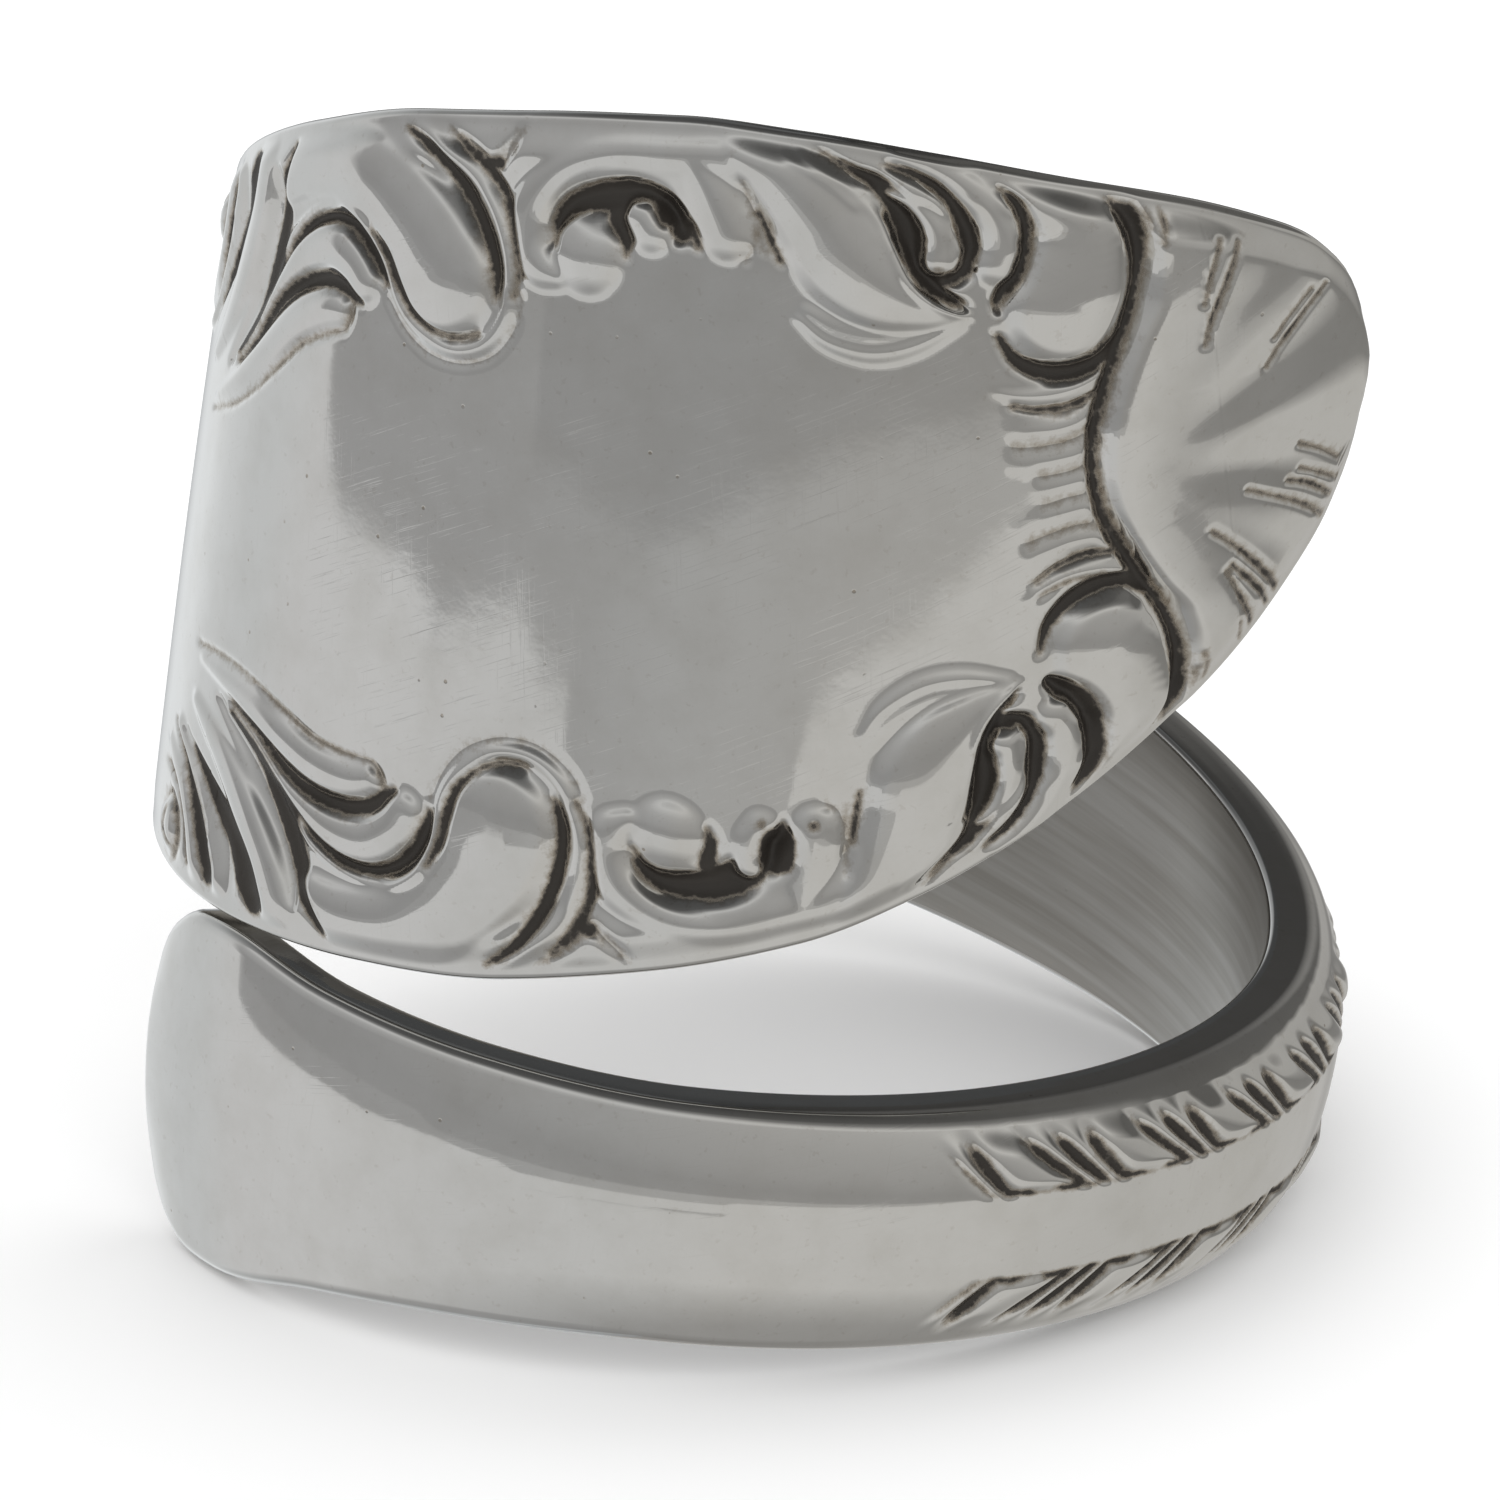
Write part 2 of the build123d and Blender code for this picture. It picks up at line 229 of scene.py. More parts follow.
@dataclass(frozen=True)
class Ornament:
    """Scrolls, leaves and shell of the panel, mirrored about its middle line.

    Heights, depths and distances are in millimetres. The border and the shell's lip are the ground that
    domes rise from, wires lie on and grooves, hollows and holes cut into; beads stand in the hollows.
    """

    dome_height: float = 0.25
    wire_height: float = 0.10
    groove_depth: float = 0.13
    hollow_depth: float = 0.22
    border_height: float = 0.13
    lip_height: float = 0.26
    flute_depth: float = 0.024
    # Soft darkening just outside each cut: partly oxide fading out, partly painted shade of the slopes there.
    oxide_and_shade_fringe: float = 0.20
    fringe_reach: float = 0.3
    shell_heart: float = 4.6
    shell_flutes: int = 13
    full_dome: float = 0.85
    dome_taper: float = 0.6
    bead_taper: float = 0.5
    round_share: float = 0.66
    steep_share: float = 0.34
    steep_side: Span = (1.0, 0.72)
    wire_spread: float = 1.15
    wire_on_dome: float = 0.85
    cut_spread: float = 1.4
    cut_power: float = 1.3
    hole_spread: float = 1.3
    groove_rim: Span = (0.03, -0.04)
    hollow_rim: Span = (0.05, -0.08)
    hole_rim: Span = (0.05, -0.04)
    bead_rim: Span = (-0.08, 0.03)
    border_inside: Span = (1.25, 0.55)
    border_start: Span = (-13.5, -11.0)
    border_stop: Span = (4.4, 5.6)
    lip_front: Span = (0.0, 0.35)
    lip_back: Span = (0.3, 3.2)
    lip_fall: float = 0.6
    flutes_begin: Span = (1.1, 3.6)
    edge_keeps: float = 0.12
    edge_adds: float = 0.88
    edge_fade: Span = (0.05, 0.8)
    detail_fade: Span = (0.1, 0.6)
    room: float = 0.3

    def leaves(self) -> list[Stroke]:
        """Raised scrolls and leaves of one half of the panel.

        Returns:
            Domes, then wires.
        """
        dome, wire = Form.DOME, Form.WIRE
        return [
            Stroke("teardrop", dome, ((-9.75, 5.75, 0.4), (-9.0, 6.1, 0.62), (-7.9, 6.15, 0.72),
                (-6.95, 5.85, 0.92), (-6.2, 5.25, 1.05), (-5.8, 4.7, 1.1), (-5.68, 4.45, 1.08)), 1.1),
            Stroke("inner leaf", dome, ((-12.0, 2.9, 0.08), (-11.0, 3.45, 0.18), (-10.0, 4.1, 0.27),
                (-9.2, 4.62, 0.36), (-8.4, 4.82, 0.42), (-7.8, 4.62, 0.42), (-7.48, 4.28, 0.36)), 0.9),
            Stroke("lower leaf", dome, ((-13.2, 2.15, 0.06), (-11.8, 2.55, 0.18), (-10.5, 3.1, 0.28),
                (-9.5, 3.58, 0.33), (-8.7, 3.8, 0.3), (-8.15, 3.78, 0.2)), 0.7),
            Stroke("first flute", dome, ((-13.4, 2.85, 0.15), (-12.3, 3.6, 0.3), (-11.5, 4.4, 0.42),
                (-10.95, 5.2, 0.5), (-10.72, 5.9, 0.52), (-10.65, 6.3, 0.45)), 0.85),
            Stroke("second flute", dome, ((-14.3, 3.3, 0.15), (-13.3, 4.2, 0.3), (-12.75, 5.0, 0.36),
                (-12.45, 5.7, 0.38)), 0.7),
            Stroke("third flute", dome, ((-15.0, 3.6, 0.12), (-14.1, 4.3, 0.25), (-13.6, 5.0, 0.3),
                (-13.4, 5.7, 0.3)), 0.6),
            Stroke("rosette", dome, ((-14.85, 5.1, 0.5), (-14.75, 5.1, 0.5)), 0.8),
            Stroke("scroll", dome, ((0.1, 6.25, 0.3), (-1.0, 6.3, 0.28), (-2.1, 6.38, 0.3),
                (-3.1, 6.15, 0.34), (-3.75, 5.6, 0.36), (-3.92, 5.0, 0.34), (-3.78, 4.6, 0.33),
                (-3.46, 4.42, 0.2)), 0.95),
            Stroke("acanthus", dome, ((0.0, 6.35, 0.45), (0.65, 5.65, 0.66), (1.1, 4.95, 0.8),
                (1.35, 4.35, 0.85), (1.75, 3.85, 0.72), (2.3, 3.45, 0.42), (2.85, 3.2, 0.15)), 1.05),
            Stroke("acanthus foot", dome, ((0.6, 3.6, 0.12), (1.05, 3.25, 0.25), (1.65, 3.05, 0.3),
                (2.3, 3.05, 0.25), (2.9, 3.15, 0.1)), 0.45),
            Stroke("large lobe", dome, ((2.3, 6.25, 0.12), (3.2, 6.0, 0.3), (4.1, 5.55, 0.48),
                (4.75, 4.85, 0.66), (5.0, 4.05, 0.78), (4.8, 3.3, 0.97), (4.62, 2.98, 1.0)), 1.1),
            Stroke("corner", dome, ((-5.2, 6.85, 0.12), (-4.65, 6.68, 0.3), (-4.2, 6.7, 0.25)), 0.7),
            Stroke("first ripple", dome, ((3.3, 1.82, 0.02), (3.7, 1.67, 0.08), (4.2, 1.58, 0.14),
                (4.6, 1.6, 0.14), (5.0, 1.72, 0.1)), 0.6),
            Stroke("second ripple", dome, ((3.3, 1.14, 0.02), (3.75, 1.01, 0.08), (4.4, 0.97, 0.13),
                (4.75, 1.05, 0.09)), 0.6),
            Stroke("third ripple", dome, ((3.35, 0.56, 0.02), (3.8, 0.47, 0.07), (4.4, 0.45, 0.11),
                (4.65, 0.5, 0.08)), 0.55),
            Stroke("middle ripple", dome, ((3.55, 0.0, 0.02), (4.1, 0.0, 0.07), (4.6, 0.0, 0.1)), 0.5),
            Stroke("teardrop rim", wire, ((-10.3, 4.3, 0.05), (-9.55, 4.95, 0.08), (-8.7, 5.38, 0.09),
                (-7.95, 5.46, 0.09), (-7.32, 5.26, 0.09), (-6.97, 4.88, 0.09), (-6.82, 4.4, 0.09),
                (-6.58, 3.87, 0.1), (-6.12, 3.46, 0.11), (-5.5, 3.24, 0.12), (-4.9, 3.36, 0.12),
                (-4.5, 3.76, 0.12), (-4.33, 4.3, 0.11), (-4.33, 4.9, 0.1), (-4.5, 5.5, 0.1),
                (-4.85, 6.05, 0.1), (-5.4, 6.5, 0.09), (-6.1, 6.8, 0.08), (-7.0, 6.87, 0.05)), 1.0),
            Stroke("flute rim", wire, ((-12.0, 2.95, 0.03), (-11.2, 3.45, 0.06), (-10.5, 4.0, 0.07),
                (-10.05, 4.5, 0.06), (-9.88, 5.1, 0.04)), 0.8),
            Stroke("acanthus rim", wire, ((0.85, 6.15, 0.04), (1.45, 5.6, 0.06), (1.9, 5.0, 0.07),
                (2.1, 4.4, 0.07), (2.25, 3.9, 0.07), (2.6, 3.45, 0.07), (3.05, 3.15, 0.05)), 0.9),
            Stroke("second acanthus rim", wire, ((0.65, 6.12, 0.03), (1.2, 5.68, 0.05),
                (1.62, 5.2, 0.03)), 0.5),
            Stroke("foot rim", wire, ((0.45, 3.5, 0.04), (0.85, 3.05, 0.09), (1.5, 2.76, 0.11),
                (2.2, 2.78, 0.1), (2.95, 3.05, 0.05)), 0.7),
        ]

    def recesses(self) -> list[Stroke]:
        """Cuts and hollows of one half of the panel, where the oxide stays; the shell edge's dark is painted
        shadow under the shell's lip.

        Returns:
            Grooves and hollows.
        """
        groove, hollow = Form.GROOVE, Form.HOLLOW
        return [
            Stroke("inside the rim", groove, ((-6.25, 6.78, 0.05), (-5.6, 6.4, 0.1), (-5.1, 5.85, 0.12),
                (-4.75, 5.2, 0.11), (-4.6, 4.55, 0.09), (-4.66, 4.05, 0.04)), 1.0, 1.0),
            Stroke("outside the rim", groove, ((-5.1, 6.6, 0.04), (-4.6, 6.2, 0.1), (-4.28, 5.7, 0.1),
                (-4.17, 5.1, 0.08), (-4.14, 4.6, 0.06), (-4.28, 4.1, 0.03)), 1.0, 0.85),
            Stroke("corner hollow", groove, ((-4.5, 6.2, 0.1), (-4.32, 6.22, 0.12)), 0.8, 0.9),
            Stroke("corner right", groove, ((-4.3, 6.2, 0.1), (-4.0, 6.5, 0.1),
                (-3.75, 6.85, 0.06)), 0.9, 0.32),
            Stroke("corner left", groove, ((-5.3, 6.75, 0.02), (-4.9, 6.58, 0.04),
                (-4.45, 6.25, 0.08)), 0.8, 0.6),
            Stroke("under the arch", groove, ((-10.4, 3.98, 0.05), (-9.65, 4.7, 0.07), (-9.0, 5.12, 0.09),
                (-8.4, 5.27, 0.09), (-7.9, 5.22, 0.1), (-7.45, 4.98, 0.13), (-7.15, 4.62, 0.12),
                (-7.0, 4.25, 0.05)), 1.0, 1.0),
            Stroke("over the arch", groove, ((-7.05, 5.12, 0.03), (-6.78, 4.75, 0.1), (-6.6, 4.28, 0.12),
                (-6.35, 3.86, 0.09), (-5.95, 3.56, 0.05), (-5.5, 3.43, 0.03),
                (-5.05, 3.5, 0.02)), 1.0, 0.9),
            Stroke("round the teardrop", groove, ((-6.95, 4.05, 0.03), (-6.55, 3.5, 0.04),
                (-6.05, 3.15, 0.05), (-5.4, 3.04, 0.05), (-4.8, 3.18, 0.05), (-4.32, 3.62, 0.04),
                (-4.15, 4.1, 0.03)), 0.4, 0.3),
            Stroke("between the leaves", groove, ((-11.9, 2.78, 0.04), (-11.0, 3.2, 0.06),
                (-10.2, 3.75, 0.07), (-9.5, 4.1, 0.1), (-8.8, 4.26, 0.13), (-8.25, 4.22, 0.13),
                (-7.88, 4.02, 0.09), (-7.62, 3.92, 0.04)), 0.95, 1.0),
            Stroke("leaf hook", groove, ((-7.88, 3.95, 0.06), (-7.95, 3.7, 0.07),
                (-8.05, 3.52, 0.05)), 0.7, 0.6),
            Stroke("leaf contour", groove, ((-13.4, 1.93, 0.02), (-12.2, 2.06, 0.03), (-11.2, 2.33, 0.04),
                (-10.2, 2.78, 0.06), (-9.4, 3.18, 0.06), (-8.6, 3.39, 0.05), (-8.1, 3.47, 0.04)), 0.6, 0.6),
            Stroke("first flute valley", groove, ((-12.4, 2.75, 0.06), (-11.35, 3.55, 0.16),
                (-10.85, 4.1, 0.24), (-10.5, 4.7, 0.26), (-10.25, 5.3, 0.2),
                (-10.15, 5.9, 0.12)), 0.8, 0.0),
            Stroke("first flute edge", groove, ((-11.9, 2.95, 0.05), (-11.1, 3.5, 0.15),
                (-10.6, 4.05, 0.24), (-10.25, 4.6, 0.28), (-10.05, 5.1, 0.25), (-9.98, 5.5, 0.19),
                (-9.8, 5.9, 0.12), (-9.5, 6.35, 0.08)), 1.0, 1.0),
            Stroke("second flute valley", groove, ((-14.0, 3.4, 0.06), (-13.1, 4.15, 0.18),
                (-12.4, 4.95, 0.32), (-12.05, 5.6, 0.36)), 0.8, 0.0),
            Stroke("second flute edge", groove, ((-13.6, 3.62, 0.05), (-12.8, 4.2, 0.15),
                (-12.05, 4.9, 0.28), (-11.6, 5.45, 0.34), (-11.3, 5.95, 0.28)), 1.0, 1.0),
            Stroke("third flute edge", groove, ((-14.6, 3.3, 0.05), (-13.8, 4.0, 0.16), (-13.2, 4.8, 0.28),
                (-12.88, 5.6, 0.3)), 0.9, 0.9),
            Stroke("fourth flute edge", groove, ((-15.2, 4.0, 0.04), (-14.4, 4.3, 0.1), (-13.98, 4.9, 0.13),
                (-13.85, 5.5, 0.12)), 0.9, 0.85),
            Stroke("round the rosette", groove, ((-15.3, 4.7, 0.05), (-14.8, 4.5, 0.06),
                (-14.35, 4.85, 0.06), (-14.3, 5.3, 0.06), (-14.7, 5.65, 0.06),
                (-15.2, 5.5, 0.05)), 0.6, 0.8),
            Stroke("first petal cut", groove, ((-14.8, 5.1, 0.05), (-14.58, 5.34, 0.04)), 0.5, 0.9),
            Stroke("second petal cut", groove, ((-14.8, 5.1, 0.05), (-15.08, 5.25, 0.04)), 0.5, 0.9),
            Stroke("third petal cut", groove, ((-14.8, 5.1, 0.05), (-14.75, 4.76, 0.04)), 0.5, 0.9),
            Stroke("scroll hollow", hollow, ((-3.46, 4.9, 0.02), (-3.4, 5.22, 0.09), (-3.08, 5.52, 0.17),
                (-2.55, 5.64, 0.24), (-2.0, 5.6, 0.3), (-1.55, 5.4, 0.3), (-1.25, 5.05, 0.2)), 1.0, 1.0),
            Stroke("beside the ball", groove, ((-2.3, 5.3, 0.15), (-2.2, 4.95, 0.13),
                (-2.22, 4.7, 0.06)), 1.0, 0.9),
            Stroke("bead edge", groove, ((-1.1, 5.15, 0.08), (-1.03, 4.95, 0.08),
                (-0.98, 4.75, 0.05)), 0.9, 0.9),
            Stroke("tongue edge", groove, ((-0.1, 5.75, 0.04), (-0.05, 5.2, 0.07), (-0.08, 4.8, 0.05),
                (-0.25, 4.5, 0.03)), 0.6, 0.4),
            Stroke("slit", groove, ((0.06, 5.25, 0.035), (0.16, 4.88, 0.06), (0.3, 4.42, 0.04)), 0.8, 1.0),
            Stroke("second slit", groove, ((-0.02, 5.0, 0.02), (0.06, 4.6, 0.03)), 0.4, 0.5),
            Stroke("beside the acanthus", hollow, ((1.1, 6.18, 0.04), (1.6, 5.78, 0.07), (1.95, 5.52, 0.14),
                (2.2, 5.15, 0.19), (2.34, 4.7, 0.22), (2.38, 4.25, 0.19), (2.48, 3.88, 0.15),
                (2.72, 3.55, 0.1), (3.02, 3.3, 0.05)), 0.95, 1.0),
            Stroke("under the small lobe", groove, ((2.6, 3.75, 0.12), (2.88, 3.78, 0.12)), 0.8, 0.95),
            Stroke("between the lobes", hollow, ((2.15, 5.78, 0.05), (2.7, 5.5, 0.11), (3.08, 5.05, 0.13),
                (3.24, 4.55, 0.16), (3.28, 4.15, 0.15), (3.12, 3.85, 0.12), (2.85, 3.7, 0.08)), 0.95, 1.0),
            Stroke("crescent", hollow, ((3.8, 5.12, 0.04), (4.06, 4.8, 0.1), (4.16, 4.4, 0.12),
                (4.1, 4.0, 0.12), (3.9, 3.62, 0.13), (3.62, 3.32, 0.11),
                (3.54, 3.12, 0.05)), 0.95, 0.95, Side.UPPER),
            Stroke("wide crescent", hollow, ((3.72, 5.3, 0.05), (4.12, 4.9, 0.15), (4.24, 4.4, 0.21),
                (4.14, 3.9, 0.22), (3.86, 3.52, 0.2), (3.58, 3.26, 0.08)), 0.95, 1.0, Side.LOWER),
            Stroke("under the large lobe", groove, ((3.5, 2.72, 0.05), (3.7, 2.28, 0.1), (4.1, 1.97, 0.13),
                (4.6, 1.84, 0.14), (5.1, 1.92, 0.12), (5.5, 2.25, 0.08)), 1.0, 1.0),
            # Painted shadow: the dark of the shell edge stands for the shadow under the shell's lip.
            Stroke("shell edge", hollow, ((5.2, 4.92, 0.05), (5.55, 4.62, 0.13), (5.85, 4.2, 0.18),
                (5.97, 3.7, 0.15), (5.92, 3.2, 0.12), (5.75, 2.7, 0.11), (5.5, 2.2, 0.1),
                (5.25, 1.72, 0.11), (5.02, 1.2, 0.12), (4.85, 0.75, 0.11), (4.77, 0.3, 0.1),
                (4.75, -0.2, 0.1)), 0.85, 0.9),
            Stroke("first furrow", groove, ((3.55, 1.52, 0.03), (3.95, 1.35, 0.06), (4.45, 1.27, 0.08),
                (4.95, 1.38, 0.05)), 0.8, 0.8),
            Stroke("second furrow", groove, ((3.5, 0.82, 0.02), (3.95, 0.76, 0.045), (4.4, 0.74, 0.05),
                (4.72, 0.82, 0.04)), 0.7, 0.7),
            Stroke("third furrow", groove, ((3.85, 0.26, 0.03), (4.25, 0.22, 0.045),
                (4.6, 0.26, 0.04)), 0.6, 0.6),
            Stroke("fine furrow", groove, ((3.6, 1.76, 0.02), (4.1, 1.63, 0.035),
                (4.7, 1.68, 0.03)), 0.5, 0.6, Side.LOWER),
            Stroke("rim cut", groove, ((6.35, 4.3, 0.03), (6.38, 3.95, 0.06), (6.3, 3.6, 0.03)), 0.5, 0.75),
            Stroke("second rim cut", groove, ((6.14, 4.25, 0.03), (6.19, 3.88, 0.05)), 0.4, 0.6),
        ]

    def shell_cuts(self) -> list[Stroke]:
        """Slanting cuts on the shell, which differ above and below the middle line.

        Returns:
            Grooves of the upper half, then of the lower.
        """
        upper = (
            (((7.3, 3.35, 0.05), (7.05, 2.85, 0.055), (6.88, 2.4, 0.03)), 0.5, 0.8),
            (((7.65, 3.2, 0.05), (7.35, 2.65, 0.08), (7.0, 2.1, 0.07), (6.82, 1.7, 0.04)), 0.5, 0.75),
            (((9.38, 1.8, 0.045), (8.85, 1.48, 0.05), (8.35, 1.15, 0.05), (8.0, 0.85, 0.03)), 0.45, 0.8),
            (((9.05, 1.85, 0.03), (8.65, 1.62, 0.04), (8.2, 1.3, 0.03)), 0.4, 0.65),
        )
        lower = (
            (((7.22, 3.95, 0.07), (7.05, 3.35, 0.03)), 0.5, 0.8),
            (((7.5, 3.78, 0.05), (7.15, 3.05, 0.06), (6.82, 2.3, 0.03)), 0.5, 0.85),
            (((7.85, 3.45, 0.05), (7.4, 2.8, 0.07), (6.95, 2.25, 0.04)), 0.5, 0.85),
            (((8.02, 3.2, 0.08), (7.55, 2.55, 0.08), (7.05, 1.95, 0.05), (6.6, 1.5, 0.03)), 0.5, 0.8),
            (((9.2, 2.38, 0.07), (8.5, 1.8, 0.06), (7.8, 1.35, 0.04), (7.4, 1.1, 0.03)), 0.45, 0.7),
            (((9.42, 2.1, 0.05), (8.8, 1.6, 0.06), (8.3, 1.32, 0.03)), 0.45, 0.8),
            (((9.55, 1.85, 0.05), (9.0, 1.48, 0.05), (8.6, 1.22, 0.03)), 0.45, 0.7),
            (((9.65, 1.55, 0.04), (9.1, 1.1, 0.05), (8.62, 0.78, 0.06)), 0.45, 0.65),
        )
        return [Stroke("shell cut", Form.GROOVE, *row, side)
                for side, rows in ((Side.UPPER, upper), (Side.LOWER, lower)) for row in rows]

    def beads(self) -> list[Stroke]:
        """Balls that stand in the hollows, and the holes in them.

        Returns:
            Beads and holes, each hole after the bead that it is beside or in.
        """
        bead, hole = Form.BEAD, Form.HOLE
        return [
            Stroke("tongue", bead, ((-0.95, 6.25, 0.34), (-0.72, 5.8, 0.4), (-0.54, 5.25, 0.44),
                (-0.48, 4.92, 0.42)), 0.5),
            Stroke("small lobe", bead, ((2.1, 5.35, 0.06), (2.5, 5.08, 0.16), (2.74, 4.68, 0.22),
                (2.74, 4.3, 0.22), (2.7, 4.12, 0.26)), 0.45),
            Stroke("middle lobe", bead, ((2.3, 5.9, 0.1), (3.0, 5.55, 0.22), (3.45, 5.1, 0.3),
                (3.72, 4.6, 0.34), (3.74, 4.15, 0.34), (3.62, 3.88, 0.34)), 0.5),
            Stroke("scroll ball", bead, ((-2.88, 4.68, 0.6), (-2.82, 4.72, 0.6)), 0.72),
            Stroke("bead", bead, ((-1.85, 5.3, 0.3), (-1.72, 5.05, 0.34)), 0.42, 0.0, Side.UPPER),
            Stroke("bead hole", hole, ((-1.46, 5.42, 0.16), (-1.4, 5.28, 0.16)), 0.9, 1.0, Side.UPPER),
            Stroke("long bead", bead, ((-1.62, 5.35, 0.26), (-1.56, 5.0, 0.3),
                (-1.36, 4.76, 0.3)), 0.4, 0.0, Side.LOWER),
            Stroke("long bead hole", hole, ((-1.16, 5.32, 0.28),
                (-1.12, 5.08, 0.28)), 0.9, 1.0, Side.LOWER),
            Stroke("bead dot", hole, ((-1.34, 4.68, 0.05), (-1.3, 4.66, 0.05)), 0.4, 0.8, Side.LOWER),
            Stroke("tongue dot", hole, ((-0.52, 4.82, 0.07), (-0.48, 4.82, 0.07)), 0.5, 0.9, Side.LOWER),
            Stroke("lobe dot", hole, ((2.69, 3.97, 0.045), (2.72, 3.99, 0.045)), 0.3, 0.8, Side.UPPER),
        ]

    def shell_edge(self) -> Table:
        """Inner edge of the shell: distance from the middle line, and distance along."""
        return ((0.0, 4.75), (0.7, 4.85), (1.4, 5.1), (2.1, 5.45), (2.8, 5.88), (3.5, 6.02), (4.3, 5.85),
                (5.0, 5.3), (5.6, 4.6))

    def profile(self, share: np.ndarray) -> np.ndarray:
        """Height of a dome across a stroke, 1 at its middle and 0 at its edge."""
        return self.round_share * bowl(share, 1.0) + self.steep_share * ease(*self.steep_side, share)

    def laid(self, stroke: Stroke, x: np.ndarray, across: np.ndarray) -> Quad:
        """Which points a stroke reaches, and how near they lie to it.

        Args:
            stroke: The modelled line.
            x: Distance from the ornament's middle towards the tip.
            across: Distance from the middle line, of either sign.

        Returns:
            A mask of the points, then what nearness gives for them.
        """
        y = np.abs(across) if stroke.side is Side.BOTH else across * stroke.side.value
        line = np.array(stroke.line)[:, :2]
        room = stroke.widest * 2 + self.room
        low, high = line.min(axis=0) - room, line.max(axis=0) + room
        near = (x > low[0]) & (x < high[0]) & (y > low[1]) & (y < high[1])
        if not near.any():
            return near, np.zeros(0), np.zeros(0), np.zeros(0)
        return near, *nearness(x[near], y[near], stroke)

    def plain_form(self, x: np.ndarray, across: np.ndarray, inward: np.ndarray) -> np.ndarray:
        """Height of the border and the fluted shell, which carry the ornament.

        Args:
            x: Distance from the ornament's middle towards the tip.
            across: Distance from the middle line, of either sign.
            inward: Distance from the panel's edge.

        Returns:
            Height above the plain field in millimetres.
        """
        border = self.border_height * ease(*self.border_inside, inward)
        border = border * ease(*self.border_start, x) * (1 - ease(*self.border_stop, x))
        behind = x - smooth_through(self.shell_edge(), 1, np.abs(across))
        lip = self.lip_height * ease(*self.lip_front, behind)
        lip = lip * (1 - self.lip_fall * ease(*self.lip_back, behind))
        turn = np.arctan2(across, x - self.shell_heart)
        flutes = self.flute_depth * np.cos(self.shell_flutes * turn) * ease(*self.flutes_begin, behind)
        fade = self.edge_keeps + self.edge_adds * ease(*self.edge_fade, inward)
        return np.maximum(border, lip + flutes) * fade

    def model(self, x: np.ndarray, across: np.ndarray, half: np.ndarray) -> tuple[np.ndarray, np.ndarray]:
        """Height of the ornament, and its tarnish with painted shade beside the cuts.

        Args:
            x: Distance from the ornament's middle towards the tip.
            across: Distance from the middle line, of either sign.
            half: The panel's half-width there.

        Returns:
            Height above the plain field in millimetres, and how dark the recesses, with the painted shade
            beside them, are, 0 to 1.
        """
        domes, wires, cuts, dark = (np.zeros(x.shape) for _ in range(4))
        for stroke in self.leaves():
            near, share, _, wide = self.laid(stroke, x, across)
            if stroke.form is Form.DOME:
                size = (wide * min(stroke.widest / self.full_dome, 1.0)) ** self.dome_taper
                height = self.dome_height * stroke.rise * size * self.profile(share)
                domes[near] = np.maximum(domes[near], height)
            else:
                height = self.wire_height * stroke.rise * bowl(share, self.wire_spread)
                wires[near] = np.maximum(wires[near], height)
        for stroke in self.recesses() + self.shell_cuts():
            near, share, past, _ = self.laid(stroke, x, across)
            groove = stroke.form is Form.GROOVE
            depth = self.groove_depth if groove else self.hollow_depth
            rim = self.groove_rim if groove else self.hollow_rim
            # Fading oxide and painted shade beside the cut, laid into the tarnish.
            oxide_and_shade_fringe = self.oxide_and_shade_fringe * np.clip(1 - np.maximum(past, 0.0) / self.fringe_reach, 0.0, 1.0) ** 3
            cut = depth * stroke.rise * bowl(share, self.cut_spread) ** self.cut_power
            cuts[near] = np.maximum(cuts[near], cut)
            dark[near] = np.maximum(dark[near], stroke.dark * np.maximum(ease(*rim, past), oxide_and_shade_fringe))
        inward = half - np.abs(across)
        body = self.plain_form(x, across, inward)
        detail = np.maximum(domes - body, 0.0) + self.wire_on_dome * wires - cuts
        body = body + detail * ease(*self.detail_fade, inward)
        for stroke in self.beads():
            near, share, past, wide = self.laid(stroke, x, across)
            if stroke.form is Form.BEAD:
                height = self.dome_height * stroke.rise * wide ** self.bead_taper * bowl(share, 1.0)
                body[near] = np.where(share < 1, np.maximum(body[near], height), body[near])
                dark[near] = dark[near] * ease(*self.bead_rim, past)
            else:
                cut = self.groove_depth * stroke.rise * bowl(share, self.hole_spread)
                body[near] = body[near] - cut
                dark[near] = np.maximum(dark[near], stroke.dark * ease(*self.hole_rim, past))
        return body, dark


